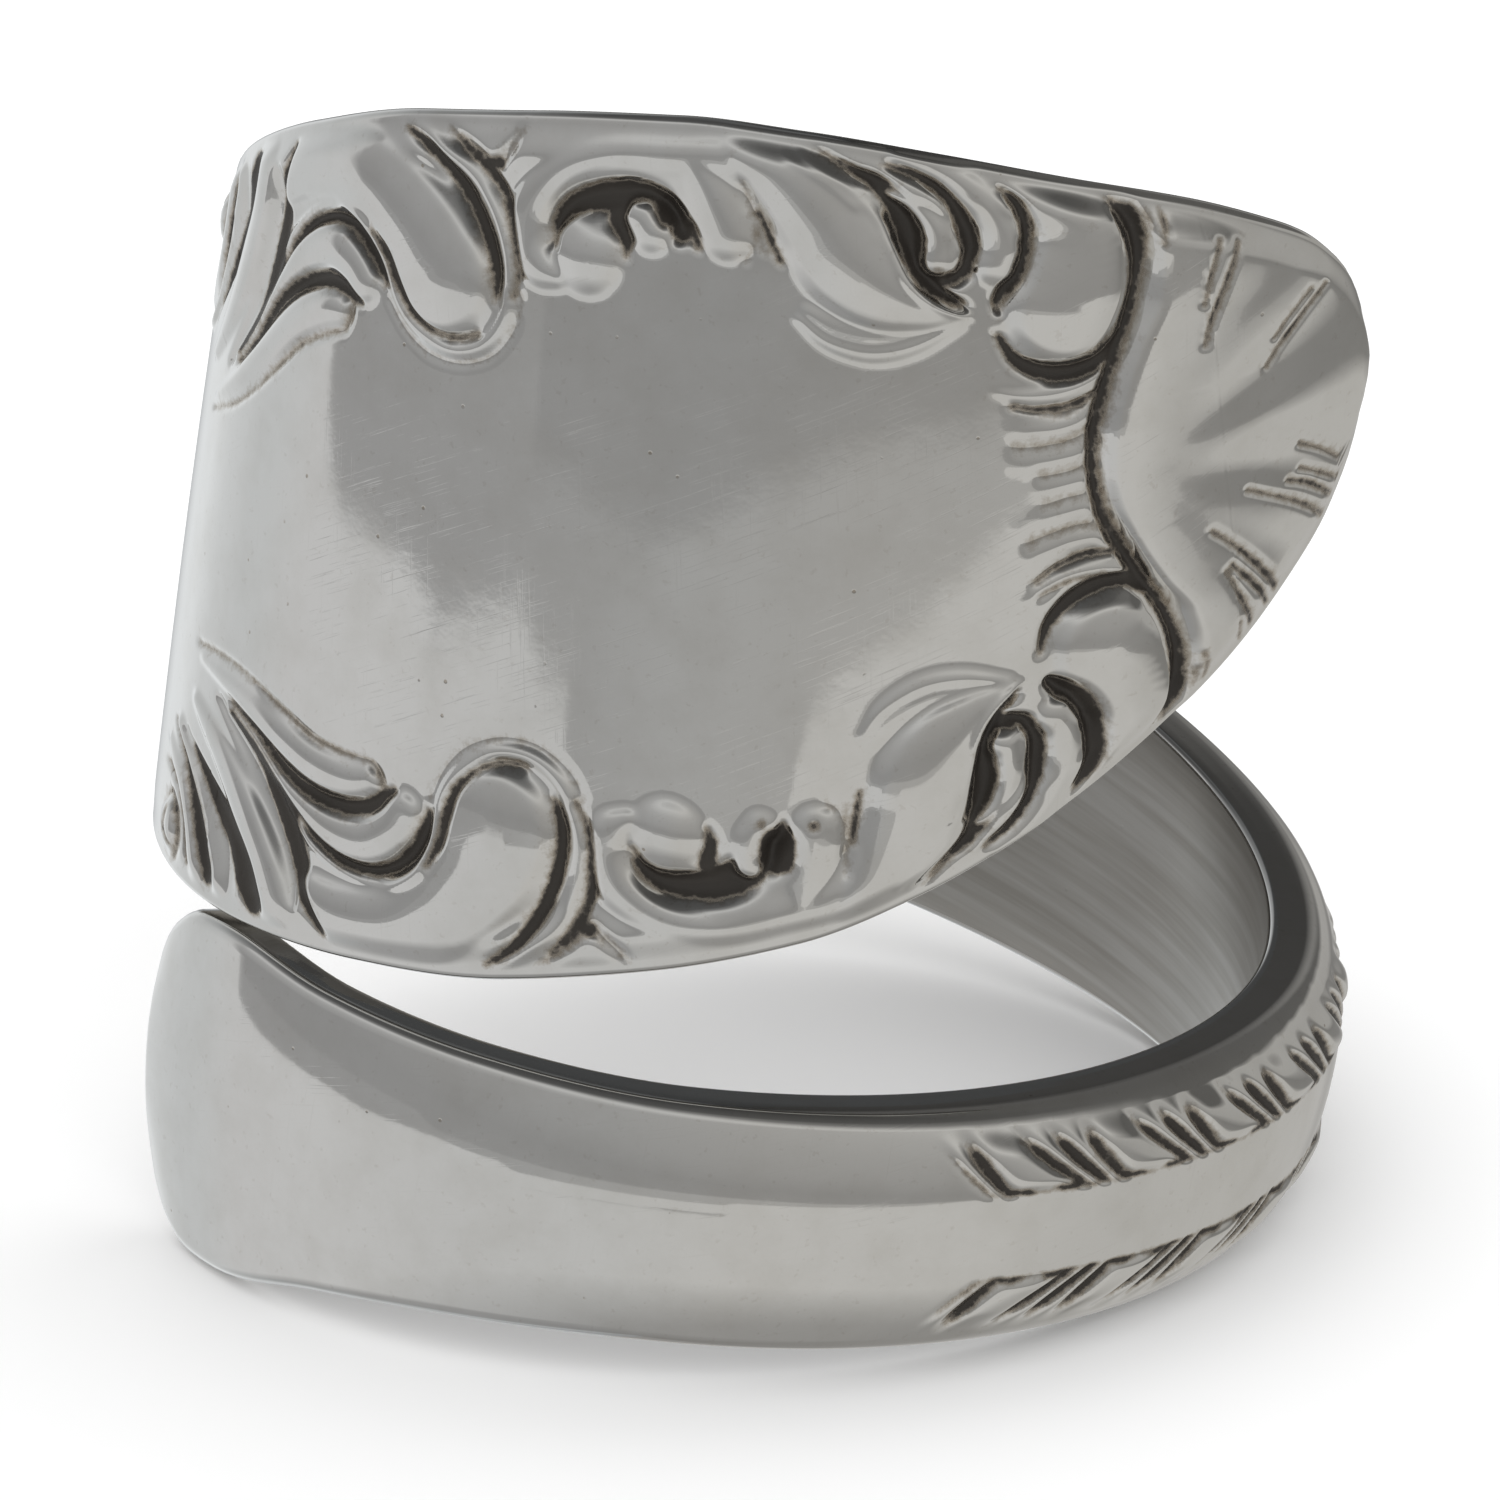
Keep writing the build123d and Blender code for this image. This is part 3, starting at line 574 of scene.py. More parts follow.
@dataclass(frozen=True)
class Gadroons:
    """Slanting lobes and lines along both edges of the stem.

    The pitch is one lobe with its lines. Places within it are shares of the pitch, and places from the
    middle strip outwards are shares of the reach.
    """

    lobe_height: float = 0.10
    line_height: float = 0.05
    depth: float = 0.10
    pitch: float = 2.25
    slant: float = 1.35
    curl: float = 0.26
    strip: float = 0.74
    reach: float = 1.06
    last_part: float = 0.575
    cut_middle: float = 0.66
    cut_gap: float = 0.17
    cut_gap_grows: float = 0.13
    gap_full: float = 1.2
    cut_breadth: float = 0.040
    cut_swell: float = 0.030
    swell_power: float = 0.8
    outer_cut_loss: float = 0.12
    cut_wall: Span = (1.35, 0.55)
    line_breadth: float = 0.05
    lobe_middle: float = 0.16
    lobe_reach: float = 0.50
    lobe_foot: Span = (-0.02, 0.22)
    first_fade: float = 2.0
    last_fade: float = 0.05
    inner_fade: Span = (-0.03, 0.08)
    outer_fade: Span = (1.08, 0.6)
    stain_inner: Span = (0.0, 0.08)
    stain_outer: Span = (0.98, 0.6)
    # Dark line along the middle strip's border: oxide where the cuts end, and painted shade at the step.
    border_stain_and_shade: float = 0.40
    border_off: float = 0.02
    border_breadth: float = 0.045
    foot_stain: float = 0.9
    foot_outer: Span = (0.16, 0.05)
    foot_inner: Span = (-0.04, 0.03)
    foot_middle: float = 0.02
    foot_gap: Span = (0.06, 0.12)
    line_clears: Span = (0.3, 0.5)

    def model(self, along: np.ndarray, across: np.ndarray, first: float,
              last: float) -> tuple[np.ndarray, np.ndarray]:
        """Height and tarnish of the stem's edges, with painted shade along the middle strip's border.

        Each step of the pattern is a broad lobe, then two fine lines between three dark cuts.

        Args:
            along: Distance from the tip.
            across: Distance from the middle line.
            first: Where the lobes begin.
            last: Where they end, beside the plain middle strip.

        Returns:
            Height in millimetres, and how dark the cuts and the strip's border line with its painted shade
            are, 0 to 1.
        """
        off = np.abs(across) - self.strip
        out = off / self.reach
        lean = self.slant * off - self.curl * off ** 2
        phase = (along - last - lean) / self.pitch + self.last_part
        part = phase - np.floor(phase)
        apart = self.cut_gap + self.cut_gap_grows * np.clip(out, 0.0, self.gap_full)
        swell = np.sin(math.pi * np.clip(out, 0.0, 1.0) ** self.swell_power)
        breadth = self.cut_breadth + self.cut_swell * swell
        cut = np.zeros(part.shape)
        for turn in (-1, 0, 1):
            off_middle = np.abs(part - self.cut_middle - turn * apart) / breadth
            cut = np.maximum(cut, (1.0 - self.outer_cut_loss * abs(turn)) * ease(*self.cut_wall, off_middle))
        lines = sum(ridge(part - self.cut_middle - turn * apart / 2, self.line_breadth) for turn in (-1, 1))
        from_lobe = np.where(part > self.cut_middle, part - 1, part) - self.lobe_middle
        lobe = bowl(from_lobe, self.lobe_reach - apart) * ease(*self.lobe_foot, out)
        end = self.cut_middle - apart / 2 + self.last_fade
        window = ease(first, first + self.first_fade, along) * (1 - ease(end, end + self.last_fade, phase))
        inside = ease(*self.inner_fade, out) * ease(*self.outer_fade, out) * window
        height = (self.lobe_height * lobe + self.line_height * lines - self.depth * cut) * inside
        # Border line: oxide where the cuts end, and painted shade at the strip's step.
        border = self.border_stain_and_shade * ridge(off - self.border_off, self.border_breadth) * window
        foot = self.foot_stain * ease(*self.foot_outer, out) * ease(*self.foot_inner, out)
        foot = foot * ease(*self.foot_gap, np.abs(from_lobe - self.foot_middle))
        foot = foot * (1 - ease(*self.line_clears, lines))
        stain = cut * ease(*self.stain_inner, out) * ease(*self.stain_outer, out)
        return height, np.maximum(np.maximum(stain, foot) * window, border)


@dataclass(frozen=True)
class Handle:
    """Outline, section and winding of the spoon's handle, in millimetres."""

    bore_radius: float = 8.7
    panel_wall: float = 1.5
    stem_wall: float = 1.5
    end_wall: float = 0.85
    panel_length: float = 28.0
    stem_length: float = 60.5
    stem_width: float = 4.3
    end_width: float = 6.0
    tip_turn_deg: float = 56.5
    panel_slope_deg: float = 16.3
    stem_slope_deg: float = 2.6
    panel_crown: float = 0.06
    stem_crown: float = 0.62
    stem_flat: float = 0.66
    stem_tilt: float = 0.05
    end_crown: float = 0.22
    panel_shoulder: float = 0.13
    stem_shoulder: float = 0.30
    end_shoulder: float = 0.22
    panel_bevel: float = 0.02
    bore_stock: float = 0.25
    panel_back_crown: float = 1.5
    stem_back_crown: float = 0.3
    end_back_crown: float = 0.05
    crown_power: float = 2.2
    plain_end: float = 17.45
    gadroon_start: float = 1.5
    ornament_middle: float = 10.5
    inner_edge: float = 0.12
    stem_settled: float = 0.52
    flare_start: float = 0.72
    flare_full: float = 0.95
    strip_dish: float = 0.03
    fall_power: float = 1.75
    bevel_inside: Span = (0.75, 0.15)
    line_samples: int = 800

    @property
    def length(self) -> float:
        """Length of the whole handle along its outer face."""
        return self.panel_length + self.stem_length

    @property
    def face_radius(self) -> float:
        """Radius of the plain outer face."""
        return self.bore_radius + self.stem_wall

    def panel_outline(self) -> Table:
        """Distance from the tip, and half-width there.

        Returns:
            The outline of the panel, row by row.
        """
        return ((0.0, 0.0), (0.1, 0.8), (0.25, 1.3), (0.5, 1.8), (0.9, 2.3), (1.3, 2.7), (2.0, 3.2),
                (3.5, 4.08), (5.5, 4.98), (7.5, 5.78), (9.5, 6.42), (11.5, 6.85), (14.0, 7.02),
                (16.5, 7.05), (19.5, 6.8), (22.5, 6.38), (24.5, 6.0), (28.0, 5.15))

    def stem_outline(self) -> Table:
        """Share of the stem, share of the panel's and of the end's width, share of the slope.

        Returns:
            How the stem goes over from the panel to the flared end, row by row.
        """
        return ((0.0, 1.0, 0.0, 1.0), (0.1, 0.65, 0.0, 0.97), (0.2, 0.42, 0.0, 0.86),
                (0.33, 0.26, 0.0, 0.56), (0.45, 0.11, 0.0, 0.2), (0.56, 0.0, 0.0, 0.03),
                (0.66, 0.0, 0.0, 0.0), (0.8, 0.0, 0.03, 0.0), (0.86, 0.0, 0.22, 0.06),
                (0.91, 0.0, 0.55, 0.18), (0.955, 0.0, 1.0, 0.28), (0.972, 0.0, 0.95, 0.28),
                (0.986, 0.0, 0.55, 0.28), (0.994, 0.0, 0.05, 0.28), (0.998, 0.0, -0.5, 0.28),
                (1.0, 0.0, -1.1, 0.28))

    def half_width(self, along: np.ndarray) -> np.ndarray:
        """Half the handle's width at a distance from the tip.

        Args:
            along: Distances from the tip.

        Returns:
            The half-widths there.
        """
        panel = smooth_through(self.panel_outline(), 1, along)
        share = (along - self.panel_length) / self.stem_length
        joined = self.panel_outline()[-1][1]
        stem = self.stem_width / 2
        stem = stem + smooth_through(self.stem_outline(), 1, share) * (joined - self.stem_width / 2)
        stem = stem + smooth_through(self.stem_outline(), 2, share) * (self.end_width - self.stem_width) / 2
        return np.where(along < self.panel_length, panel, stem)

    def blend(self, along: np.ndarray, panel: float, stem: float, end: float) -> np.ndarray:
        """A size that changes from the panel's, over the stem's, to the flared end's.

        Args:
            along: Distances from the tip.
            panel: The size on the panel.
            stem: The size on the stem.
            end: The size on the flared end.

        Returns:
            The size at each distance.
        """
        join = self.panel_length / self.length
        table = ((0.0, panel), (join, panel), (self.stem_settled, stem), (self.flare_start, stem),
                 (self.flare_full, end), (1.0, end))
        return smooth_through(table, 1, along / self.length)

    def drop(self, along: np.ndarray, across: np.ndarray, half: np.ndarray) -> np.ndarray:
        """How far the plain outer face falls away from its middle line.

        Args:
            along: Distances from the tip.
            across: Distances from the middle line.
            half: The half-width there.

        Returns:
            The fall in millimetres; the stem is flat in the middle and tilted a little.
        """
        crown = self.blend(along, self.panel_crown, self.stem_crown, self.end_crown)
        flat = self.blend(along, 0.0, self.stem_flat, 0.5 * self.stem_flat)
        out = np.abs(across)
        off = np.maximum(out - flat, 0.0) / (half - flat)
        level = self.strip_dish * (np.minimum(out, flat) / self.stem_flat) ** 2
        tilt = self.blend(along, 0.0, self.stem_tilt, self.stem_tilt)
        bevel = self.blend(along, self.panel_bevel, 0.0, 0.0) * ease(*self.bevel_inside, half - out)
        return crown * off ** self.fall_power + level + bevel - tilt * across

    def centreline(self) -> Quad:
        """Distance from the tip, turn, height and slope of the middle line.

        Returns:
            Distance in millimetres, turn in radians, height in millimetres and slope in radians.
        """
        along = np.linspace(0.0, self.length, self.line_samples)
        share = (along - self.panel_length) / self.stem_length
        climb = np.where(share < 0, 1.0, smooth_through(self.stem_outline(), 3, share))
        slope = np.radians(self.stem_slope_deg + (self.panel_slope_deg - self.stem_slope_deg) * climb)
        pace = np.diff(along)
        middle = (slope[1:] + slope[:-1]) / 2
        back = np.concatenate([[0.0], np.cumsum(pace * np.cos(middle))])
        down = np.concatenate([[0.0], np.cumsum(pace * np.sin(middle))])
        return along, math.radians(self.tip_turn_deg) - back / self.face_radius, -down, slope

    def wind(self, along: np.ndarray, across: np.ndarray, radius: np.ndarray) -> np.ndarray:
        """Points of the flat handle wrapped round the finger's axis.

        Args:
            along: Distances from the tip.
            across: Distances from the middle line.
            radius: Distances from the finger's axis.

        Returns:
            Positions in millimetres, with the axis upright.
        """
        line = self.centreline()
        turn = np.interp(along, line[0], line[1])
        height = np.interp(along, line[0], line[2])
        slope = np.interp(along, line[0], line[3])
        angle = turn - across * np.sin(slope) / self.face_radius
        z = height + across * np.cos(slope)
        return np.stack([radius * np.sin(angle), -radius * np.cos(angle), z], axis=-1)


@dataclass
class Graph:
    """Adds linked nodes to one shader tree."""

    tree: bpy.types.NodeTree

    def add(self, kind: str, **settings: object) -> bpy.types.Node:
        """A new node with its settings.

        Args:
            kind: The node's type.
            **settings: Values of its own properties, by name.

        Returns:
            The node.
        """
        node = self.tree.nodes.new(kind)
        for name, value in settings.items():
            setattr(node, name, value)
        return node

    def feed(self, spot: bpy.types.NodeSocket, value: object) -> None:
        """Links a socket to an input, or sets the input to a plain value.

        Args:
            spot: The input.
            value: A socket, or a number, vector or colour.
        """
        if isinstance(value, bpy.types.NodeSocket):
            self.tree.links.new(value, spot)
        else:
            spot.default_value = value

    def math(self, kind: str, *values: object) -> bpy.types.NodeSocket:
        """The output of a math node on sockets or numbers.

        Args:
            kind: The operation.
            *values: What goes into its inputs, in order.

        Returns:
            The result's socket.
        """
        node = self.add("ShaderNodeMath", operation=kind)
        for spot, value in zip(node.inputs, values):
            self.feed(spot, value)
        return node.outputs["Value"]

    def span(self, value: object, low: float, high: float, start: float = 0.0, stop: float = 1.0,
             smooth: bool = False) -> bpy.types.NodeSocket:
        """A value moved from one range to another, and held at its ends.

        Args:
            value: The socket that is read.
            low: Where the result is start.
            high: Where the result is stop.
            start: Result at low.
            stop: Result at high.
            smooth: Whether the step is soft at both ends.

        Returns:
            The result's socket.
        """
        node = self.add("ShaderNodeMapRange", interpolation_type="SMOOTHSTEP" if smooth else "LINEAR")
        for name, given in (("Value", value), ("From Min", low), ("From Max", high), ("To Min", start),
                            ("To Max", stop)):
            self.feed(node.inputs[name], given)
        return node.outputs["Result"]

    def mix(self, share: object, first: object, second: object, blend: str = "MIX") -> bpy.types.NodeSocket:
        """Two colours mixed by a share.

        Args:
            share: How much of the second, 0 to 1.
            first: The first colour.
            second: The second colour.
            blend: How the second is laid over the first.

        Returns:
            The colour's socket.
        """
        node = self.add("ShaderNodeMix", data_type="RGBA", blend_type=blend)
        for name, given in (("Factor", share), ("A", first), ("B", second)):
            self.feed(node.inputs[name], given)
        return node.outputs["Result"]

    def ramp(self, stops: Table, value: object) -> bpy.types.NodeSocket:
        """A grey or colour that follows a table.

        Args:
            stops: Rising positions, each with a grey or with red, green and blue.
            value: The socket that is looked up.

        Returns:
            The colour's socket.
        """
        low, high = stops[0][0], stops[-1][0]
        node = self.add("ShaderNodeValToRGB")
        self.feed(node.inputs["Fac"], self.span(value, low, high))
        stack = node.color_ramp.elements
        while len(stack) < len(stops):
            stack.new(0.5)
        for element, (place, *tone) in zip(stack, stops):
            element.position = (place - low) / (high - low)
            element.color = (*tone, 1.0) if len(tone) == 3 else (*tone * 3, 1.0)
        return node.outputs["Color"]

    def noise(self, where: object, scale: float, detail: float, roughness: float) -> bpy.types.NodeSocket:
        """Fractal noise over a position.

        Args:
            where: The position's socket.
            scale: Features for each unit.
            detail: How many finer layers.
            roughness: How strong the finer layers are.

        Returns:
            The noise's socket, 0 to 1.
        """
        node = self.add("ShaderNodeTexNoise")
        for name, given in (("Vector", where), ("Scale", scale), ("Detail", detail),
                            ("Roughness", roughness)):
            self.feed(node.inputs[name], given)
        return node.outputs["Fac"]

    def stretched(self, where: object, scale: tuple[float, float, float]) -> bpy.types.NodeSocket:
        """A position scaled differently along each axis.

        Args:
            where: The position's socket.
            scale: The factor along each axis.

        Returns:
            The scaled position's socket.
        """
        node = self.add("ShaderNodeMapping")
        self.feed(node.inputs["Vector"], where)
        self.feed(node.inputs["Scale"], scale)
        return node.outputs["Vector"]


@dataclass
class Silver:
    """Polished silver with dark oxide left in its recesses, and painted shade that darkens its inner face.

    Each row of hair_ways is one way that scratches run, as an angle in radians, and how dense they are.
    Scales count features for each millimetre of the handle.
    """

    name: str = "silver"
    clean: Rgba = (0.83, 0.825, 0.81, 1.0)
    handled: Rgba = (0.76, 0.75, 0.725, 1.0)
    toned: Rgba = (0.46, 0.41, 0.345, 1.0)
    oxide: Rgba = (0.035, 0.030, 0.025, 1.0)
    # Inner face: base colour darkened as painted shade inside the band; the streak colour is real streaks,
    # darkened further by that painted shade.
    inside: Rgba = (0.46, 0.45, 0.43, 1.0)
    streak_in_painted_shade: Rgba = (0.36, 0.345, 0.32, 1.0)
    roughness: float = 0.035
    hair_roughness: float = 0.06
    cloud_roughness: float = 0.03
    inside_roughness: float = 0.26
    oxide_roughness: float = 0.4
    oxide_metallic: float = 0.3
    hair_ways: Table = ((0.25, 2.6), (1.45, 1.9))
    hair_stretch: tuple[float, float, float] = (0.25, 12.0, 1.0)
    hair_span: Span = (0.60, 0.74)
    hair_patches: Span = (0.62, 0.40)
    hair_on_handled: float = 0.35
    cloud_scale: float = 0.9
    cloud_handled: Span = (0.42, 0.72)
    handled_most: float = 0.8
    cloud_rough: Span = (0.4, 0.75)
    pit_scale: float = 1.5
    pit_size: float = 0.06
    pit_rim: Span = (1.0, 0.6)
    pit_patches: Span = (0.50, 0.56)
    pit_tone: float = 0.8
    grain_scale: float = 6.0
    grain_span: Span = (0.3, 0.7)
    grain_ragged: float = 0.16
    oxide_span: Span = (0.34, 0.80)
    warm_span: Span = (0.10, 0.50)
    streak_stretch: tuple[float, float, float] = (0.10, 2.6, 1.0)
    streak_scale: float = 1.4
    streak_span: Span = (0.36, 0.66)
    hair_level: float = -0.05
    cloud_level: float = 0.25
    pit_level: float = -0.5
    grain_level: float = 1.2
    bump_strength: float = 0.10
    bump_distance: float = 0.00004

    def group(self, name: str,
              inputs: tuple[str, ...]) -> tuple[bpy.types.NodeTree, Graph, dict, bpy.types.Node]:
        """A new shader group that gives a mask over a position.

        Args:
            name: The group's name.
            inputs: Names of its numbers, after its vector.

        Returns:
            The group, its graph, its inputs and its output node.
        """
        tree = bpy.data.node_groups.new(name, "ShaderNodeTree")
        tree.interface.new_socket("Vector", in_out="INPUT", socket_type="NodeSocketVector")
        for label in inputs:
            tree.interface.new_socket(label, in_out="INPUT", socket_type="NodeSocketFloat")
        tree.interface.new_socket("Mask", in_out="OUTPUT", socket_type="NodeSocketFloat")
        graph = Graph(tree)
        return tree, graph, graph.add("NodeGroupInput").outputs, graph.add("NodeGroupOutput")

    def hairlines(self) -> bpy.types.NodeTree:
        """Shader group: fine scratches that run one way, some longer than others.

        Returns:
            The group, which reads Angle and Density.
        """
        tree, graph, given, out = self.group("hairlines", ("Angle", "Density"))
        turn = graph.add("ShaderNodeVectorRotate", rotation_type="Z_AXIS")
        graph.feed(turn.inputs["Vector"], given["Vector"])
        graph.feed(turn.inputs["Angle"], given["Angle"])
        where = graph.stretched(turn.outputs["Vector"], self.hair_stretch)
        lines = graph.noise(where, given["Density"], 2.0, 0.7)
        graph.feed(out.inputs["Mask"], graph.span(lines, *self.hair_span))
        return tree

    def pits(self) -> bpy.types.NodeTree:
        """Shader group: scattered tiny pits and specks.

        Returns:
            The group, which reads Scale and Size.
        """
        tree, graph, given, out = self.group("pits", ("Scale", "Size"))
        cells = graph.add("ShaderNodeTexVoronoi", feature="F1")
        graph.feed(cells.inputs["Vector"], given["Vector"])
        graph.feed(cells.inputs["Scale"], given["Scale"])
        off = graph.math("DIVIDE", cells.outputs["Distance"], given["Size"])
        graph.feed(out.inputs["Mask"], graph.span(off, *self.pit_rim))
        return tree

    def use(self, graph: Graph, tree: bpy.types.NodeTree, where: object,
            **numbers: float) -> bpy.types.NodeSocket:
        """The mask of a shader group at a position.

        Args:
            graph: The graph that the group is placed in.
            tree: The group.
            where: The position's socket.
            **numbers: The group's own numbers, by name.

        Returns:
            The mask's socket.
        """
        node = graph.add("ShaderNodeGroup", node_tree=tree)
        graph.feed(node.inputs["Vector"], where)
        for name, value in numbers.items():
            graph.feed(node.inputs[name], value)
        return node.outputs["Mask"]

    def build(self) -> bpy.types.Material:
        """The finished material.

        Returns:
            Clean metal, then handling, pits, the inner face's painted shade with its streaks, tarnish with
            some painted shade, and oxide laid over it in turn.
        """
        material = bpy.data.materials.new(self.name)
        material.use_nodes = True
        graph = Graph(material.node_tree)
        shader = material.node_tree.nodes["Principled BSDF"]
        where = graph.add("ShaderNodeAttribute", attribute_name="handle").outputs["Vector"]
        # The tarnish mask holds oxide, plus painted shade beside the cuts and along the stem's middle strip.
        tarnish_and_shade = graph.add("ShaderNodeAttribute", attribute_name="tarnish_and_shade").outputs["Fac"]
        inner = graph.add("ShaderNodeAttribute", attribute_name="inner").outputs["Fac"]

        scratch = self.hairlines()
        cloud = graph.noise(where, self.cloud_scale, 4.0, 0.6)
        hair = graph.math("MAXIMUM", *(self.use(graph, scratch, where, Angle=angle, Density=density)
                                       for angle, density in self.hair_ways))
        hair = graph.math("MULTIPLY", hair, graph.span(cloud, *self.hair_patches))
        specks = self.use(graph, self.pits(), where, Scale=self.pit_scale, Size=self.pit_size)
        specks = graph.math("MULTIPLY", specks, graph.span(cloud, *self.pit_patches))

        grain = graph.noise(where, self.grain_scale, 3.0, 0.65)
        ragged = graph.span(grain, *self.grain_span, -self.grain_ragged, self.grain_ragged)
        edge = graph.math("ADD", tarnish_and_shade, ragged)
        oxide = graph.span(edge, *self.oxide_span, smooth=True)
        warm = graph.span(edge, *self.warm_span)
        handled = graph.math("MAXIMUM", graph.span(cloud, *self.cloud_handled, 0.0, self.handled_most),
                             graph.math("MULTIPLY", hair, self.hair_on_handled))
        colour = graph.mix(handled, self.clean, self.handled)
        colour = graph.mix(graph.math("MULTIPLY", specks, self.pit_tone), colour, self.toned)
        streaks = graph.noise(graph.stretched(where, self.streak_stretch), self.streak_scale, 3.0, 0.6)
        streaks = graph.span(streaks, *self.streak_span)
        # Painted shade: the inner face gets a darker base colour, with streaks along it.
        colour = graph.mix(inner, colour, graph.mix(streaks, self.inside, self.streak_in_painted_shade))
        colour = graph.mix(warm, colour, self.toned)
        graph.feed(shader.inputs["Base Color"], graph.mix(oxide, colour, self.oxide))
        graph.feed(shader.inputs["Metallic"], graph.span(oxide, 0.0, 1.0, 1.0, self.oxide_metallic))

        rough = graph.math("MULTIPLY_ADD", hair, self.hair_roughness, self.roughness)
        for mask, amount in ((graph.span(cloud, *self.cloud_rough), self.cloud_roughness),
                             (inner, self.inside_roughness), (oxide, self.oxide_roughness)):
            rough = graph.math("MULTIPLY_ADD", mask, amount, rough)
        graph.feed(shader.inputs["Roughness"], rough)

        level = graph.math("MULTIPLY", cloud, self.cloud_level)
        for mask, amount in ((hair, self.hair_level), (specks, self.pit_level),
                             (graph.math("MULTIPLY", grain, oxide), self.grain_level)):
            level = graph.math("MULTIPLY_ADD", mask, amount, level)
        bump = graph.add("ShaderNodeBump")
        bump.inputs["Strength"].default_value = self.bump_strength
        bump.inputs["Distance"].default_value = self.bump_distance
        graph.feed(bump.inputs["Height"], level)
        graph.feed(shader.inputs["Normal"], bump.outputs["Normal"])
        return material


@dataclass
class SpoonRing:
    """The whole ring, as a panel and the band that goes on from it."""

    handle: Handle
    ornament: Ornament
    gadroons: Gadroons
    fine_row: float = 0.047
    panel_columns: int = 262
    band_columns: int = 122
    shoulder_columns: int = 5
    edge_columns: int = 3
    inner_columns: int = 14
    round_end: float = 0.22
    thin_tip: float = 1.6
    bore_point_height: float = -7.5545
    wide_middle: float = 0.24
    wide_ratio: float = 2.0
    tip_rows: tuple[float, ...] = (0.01, 0.04, 0.09, 0.16, 0.25, 0.36, 0.5, 0.66, 0.84)
    end_rows: tuple[float, ...] = (1.2, 1.0, 0.82, 0.66, 0.5, 0.36, 0.28, 0.24, 0.19, 0.15, 0.11, 0.08, 0.05,
                                   0.03, 0.012, 0.0)
    shell_first: float = 0.93
    shell_last: float = 3.5
    scrolls_last: float = 23.2
    flutes_last: float = 25.4
    tip_cut: float = 9.0
    neck_cut: float = 17.5
    end_cut: float = 50.0
    back_row: float = 0.09
    lobe_row: float = 0.055
    lap_before: float = 0.065
    lap_after: float = 0.09
    lobes_go_on: float = 1.6
    ornament_fades: Span = (-1.0, 1.0)
    narrow_fade: Span = (0.3, 1.2)
    stain_fade: Span = (0.1, 0.35)
    slope_step: float = 0.02
    inner_shift: float = 20.0

    def panel_rows(self) -> np.ndarray:
        """Distances from the tip of the panel's sections, with one past its end.

        Returns:
            The distances, closest at the very tip and on the shell.
        """
        step, joined = self.fine_row, self.handle.panel_length
        shell = np.arange(self.shell_first, self.shell_last, 0.8 * step)
        scrolls = np.arange(self.shell_last, self.scrolls_last, step)
        flutes = np.arange(self.scrolls_last, self.flutes_last, 1.3 * step)
        joint = np.linspace(self.flutes_last, joined, 21)
        return np.concatenate([self.tip_rows, shell, scrolls, flutes, joint, [joined + self.lap_after]])

    def band_rows(self) -> np.ndarray:
        """Distances from the tip of the band's sections, with one before its start.

        Returns:
            The distances, closest at the rounded end.
        """
        handle, joined = self.handle, self.handle.panel_length
        plain = handle.length - handle.plain_end + self.lobes_go_on
        back = np.arange(joined, self.end_cut, self.back_row)
        lobes = np.arange(self.end_cut, plain, self.lobe_row)
        end = handle.length - np.array(self.end_rows)
        rest = np.linspace(plain, end[0], 50)[:-1]
        return np.concatenate([[joined - self.lap_before], back, lobes, rest, end])

    def crowded(self, count: int, middle: float, ratio: float) -> np.ndarray:
        """Places across the face, from -1 to 1, wider apart in the middle.

        Args:
            count: How many places.
            middle: Share of the half-width that is widely spaced.
            ratio: How much wider apart they are there.

        Returns:
            The places.
        """
        knots = np.array([-1.0, -middle, middle, 1.0])
        across = 2 * middle / ratio
        weights = np.array([0.0, 1 - middle, 1 - middle + across, 2 - 2 * middle + across])
        return np.interp(np.linspace(0.0, weights[-1], count), weights, knots)

    def ornamented(self, along: np.ndarray, across: np.ndarray,
                   half: np.ndarray) -> tuple[np.ndarray, np.ndarray]:
        """Relief, and tarnish with some painted shade, of the outer face, without its rounded shoulders.

        Args:
            along: Distances from the tip.
            across: Distances from the middle line.
            half: The half-width there.

        Returns:
            Height above the plain face in millimetres, and how dark the surface is, 0 to 1.
        """
        handle = self.handle
        relief, dark = self.ornament.model(handle.ornament_middle - along, across, half)
        before, after = self.ornament_fades
        on_panel = 1 - ease(handle.panel_length + before, handle.panel_length + after, along)
        lobes, cuts = self.gadroons.model(along, across, handle.panel_length + handle.gadroon_start,
                                          handle.length - handle.plain_end)
        relief = relief * on_panel + lobes
        relief = soften(relief * ease(*self.narrow_fade, half), 3)
        dark = soften(np.maximum(dark * on_panel, cuts) * ease(*self.stain_fade, half - np.abs(across)), 1)
        return relief, dark

    def shoulder(self, along: np.ndarray, start: np.ndarray, half: np.ndarray, relief: np.ndarray,
                 side: int) -> tuple[np.ndarray, np.ndarray]:
        """The rounding that turns the outer face into the edge.

        Args:
            along: Distances from the tip, as a column.
            start: Where the rounding starts, from the middle line.
            half: The half-width there.
            relief: Height of the ornament where it starts.
            side: 1 for the upper edge, -1 for the lower.

        Returns:
            Distance from the middle line, and radius.
        """
        handle, step = self.handle, self.slope_step
        fall = handle.drop(along, side * start, half)
        lean = np.arctan(np.maximum(fall - handle.drop(along, side * (start - step), half), 0.0) / step)
        share = np.linspace(0.0, 1.0, self.shoulder_columns + 1)[None, 1:]
        turn = lean + (math.pi / 2 - lean) * share
        size = (half - start) / (1 - np.sin(lean))
        across = side * (start + size * (np.sin(turn) - np.sin(lean)))
        radius = handle.face_radius - fall - size * (np.cos(lean) - np.cos(turn))
        return across, radius + relief * (1 - ease(0.0, 1.0, share))

